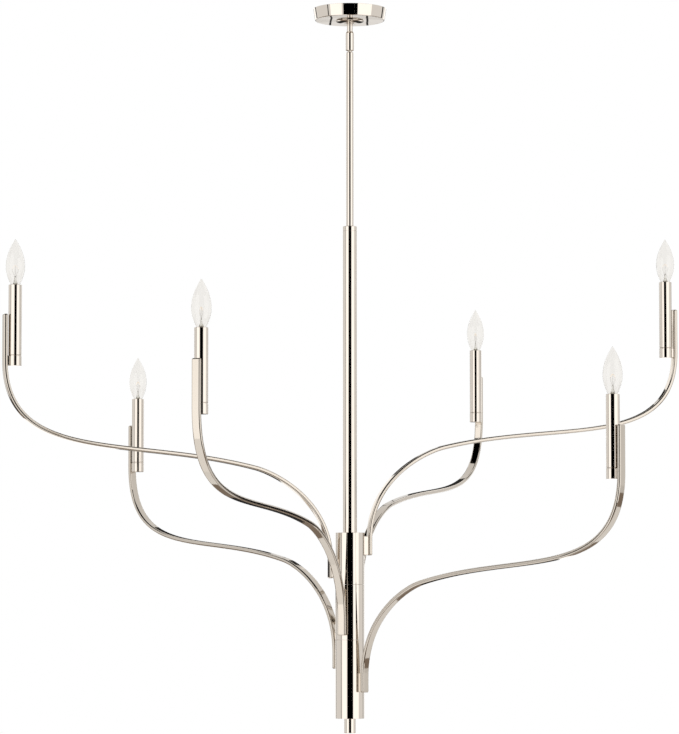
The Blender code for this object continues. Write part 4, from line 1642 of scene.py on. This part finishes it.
@dataclass
class Studio:
    """Pale floor, white surround, cards for the reflections, and the camera."""

    drop: float = 1.15
    floor_half: float = 14.0
    camera_distance: float = 5.71
    camera_height: float = -0.992
    aim: Place = (-0.018, 0.0, -0.6255)
    lens: float = 162.0
    surround: float = 0.86
    white: float = 1.0
    tint: Colour = (1.0, 0.99, 0.975)
    floor_dark: Colour = (0.86, 0.855, 0.845)
    floor_light: Colour = (0.90, 0.895, 0.885)
    floor_scale: float = 1.5
    floor_rough: float = 0.75
    lying: tuple[Card, ...] = (
        Card("overhead_cloth", (-1.60, -1.75, 1.4), 5.8, 5.5, 0.0, 0.0),
        Card("overhead_wing", (2.95, -2.75, 1.4), 3.3, 3.5, 0.0, 0.0),
        Card("low_cloth", (0.0, 0.0, -2.25), 14.0, 14.0, 0.0, 0.27, (1.0, 0.80, 0.64)),
        Card("left_bounce", (-1.70, -1.65, -2.20), 2.9, 3.3, 0.0, 1.12),
        Card("inner_bounce", (-0.50, 0.35, -2.19), 0.8, 0.9, 0.0, 1.0),
        Card("right_bounce", (1.80, 0.15, -2.20), 3.0, 2.1, 0.0, 0.95),
    )
    cards: tuple[Card, ...] = (
        Card("front_flag", (-0.105, -1.75, -0.60), 1.11, 2.6, 90.0, 0.0),
        Card("front_wing", (1.075, -2.70, -0.60), 2.27, 3.2, 33.3, 0.0),
        Card("left_panel", (-1.75, -1.75, -0.45), 1.75, 2.8, 45.0, 1.45),
        Card("right_panel", (1.96, -1.585, -0.45), 2.22, 2.8, 135.0, 1.45),
        Card("left_flag", (-2.05, -0.60, -0.60), 0.16, 2.6, 0.0, 0.10),
        Card("right_back_flag", (2.00, 1.60, -0.60), 0.36, 2.6, 220.0, 0.02),
        Card("left_back_flag", (-1.70, 1.90, -0.60), 0.30, 2.6, -48.0, 0.05),
        Card("back_flag_left", (-0.36, 2.30, -0.60), 0.48, 2.6, -90.0, 0.03),
        Card("back_flag_right", (0.36, 2.30, -0.60), 0.48, 2.6, -90.0, 0.03),
        Card("back_line_left", (-0.047, 2.28, -0.60), 0.005, 2.6, -90.0, 0.05),
        Card("back_line_right", (0.043, 2.28, -0.60), 0.005, 2.6, -90.0, 0.05),
        Card("left_back_panel", (-0.95, 2.15, -0.45), 0.9, 2.8, -66.0, 1.35),
        Card("right_back_panel", (0.95, 2.15, -0.45), 0.9, 2.8, -114.0, 1.35),
    )

    def build(self, low: Vector) -> None:
        """Set the studio up.

        Args:
            low: the object's lowest corner.
        """
        self.floor(low.z - self.drop)
        self.world()
        for card in self.cards:
            self.card(card)
        for card in self.lying:
            self.card(card, upright=False)
        self.camera()
        bpy.context.scene.view_settings.view_transform = "Standard"
        bpy.context.scene.view_settings.look = "None"

    def floor(self, height: float) -> None:
        """Lay a wide pale floor.

        Args:
            height: its height.
        """
        nothing_selected()
        bpy.ops.mesh.primitive_circle_add(vertices=96, radius=self.floor_half, fill_type="NGON",
                                          location=(0.0, 0.0, height))
        floor = bpy.context.object
        floor.name = "studio_floor"
        bench = Bench("pale_floor")
        tone = bench.blend(bench.noise(self.floor_scale, 3.0), self.floor_dark, self.floor_light)
        bench.surface(Base_Color=tone, Roughness=self.floor_rough)
        floor.data.materials.append(bench.material)
        floor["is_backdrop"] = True

    def world(self) -> None:
        """White to the camera and a little dimmer to everything else."""
        world = bpy.data.worlds.new("studio_surround")
        world.use_nodes = True
        bpy.context.scene.world = world
        board = Board(world.node_tree)
        path = board.node("ShaderNodeLightPath")
        level = board.node("ShaderNodeMix", {"data_type": "RGBA"}, {
            0: path.outputs["Is Camera Ray"], 6: tuple(self.surround * part for part in self.tint),
            7: (self.white, self.white, self.white)})
        board.feed(board.tree.nodes["Background"].inputs["Color"], level.outputs[2])

    def card(self, card: Card, upright: bool = True) -> None:
        """Stand one card up, or lay it flat, and hide it from the camera.

        Args:
            card: the card.
            upright: whether it stands.
        """
        tilt = 90.0 if upright else 0.0
        turn = card.facing - tilt
        nothing_selected()
        bpy.ops.mesh.primitive_plane_add(size=1.0, location=card.centre, rotation=(
            math.radians(tilt), 0.0, math.radians(turn)))
        made = bpy.context.object
        made.name = card.name
        made.scale = (card.width, card.height, 1.0)
        bench = Bench(f"{card.name}_cloth")
        bench.surface(Base_Color=(0.0, 0.0, 0.0), Roughness=1.0, Specular_IOR_Level=0.0,
                      Emission_Color=card.tone, Emission_Strength=card.level)
        made.data.materials.append(bench.material)
        made.visible_camera = False
        made.visible_diffuse = False
        made.visible_transmission = False
        made.visible_shadow = False
        made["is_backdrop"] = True

    def camera(self) -> None:
        """A long lens at the height of the hubs, tilted slightly up."""
        place = Vector((0.0, -self.camera_distance, self.camera_height))
        view = bpy.data.cameras.new("viewpoint")
        view.lens = self.lens
        view.clip_end = 100.0
        made = bpy.data.objects.new("viewpoint", view)
        bpy.context.scene.collection.objects.link(made)
        made.location = place
        made.rotation_euler = (Vector(self.aim) - place).to_track_quat("-Z", "Y").to_euler()
        bpy.context.scene.camera = made


def main() -> None:
    """Build the chandelier's looks and its studio."""
    logging.basicConfig(level=logging.INFO, format="%(message)s")
    cad_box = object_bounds()
    finishes = Finishes()
    CeilingFittings(finishes).build()
    Canopy(finishes).build()
    Hanger(finishes).build()
    Column(finishes).build()
    HubStack(finishes).build()
    ArmSet(finishes).build()
    Candles(finishes).build()
    Studio().build(Vector(cad_box[0]))


if __name__ == "__main__":
    main()
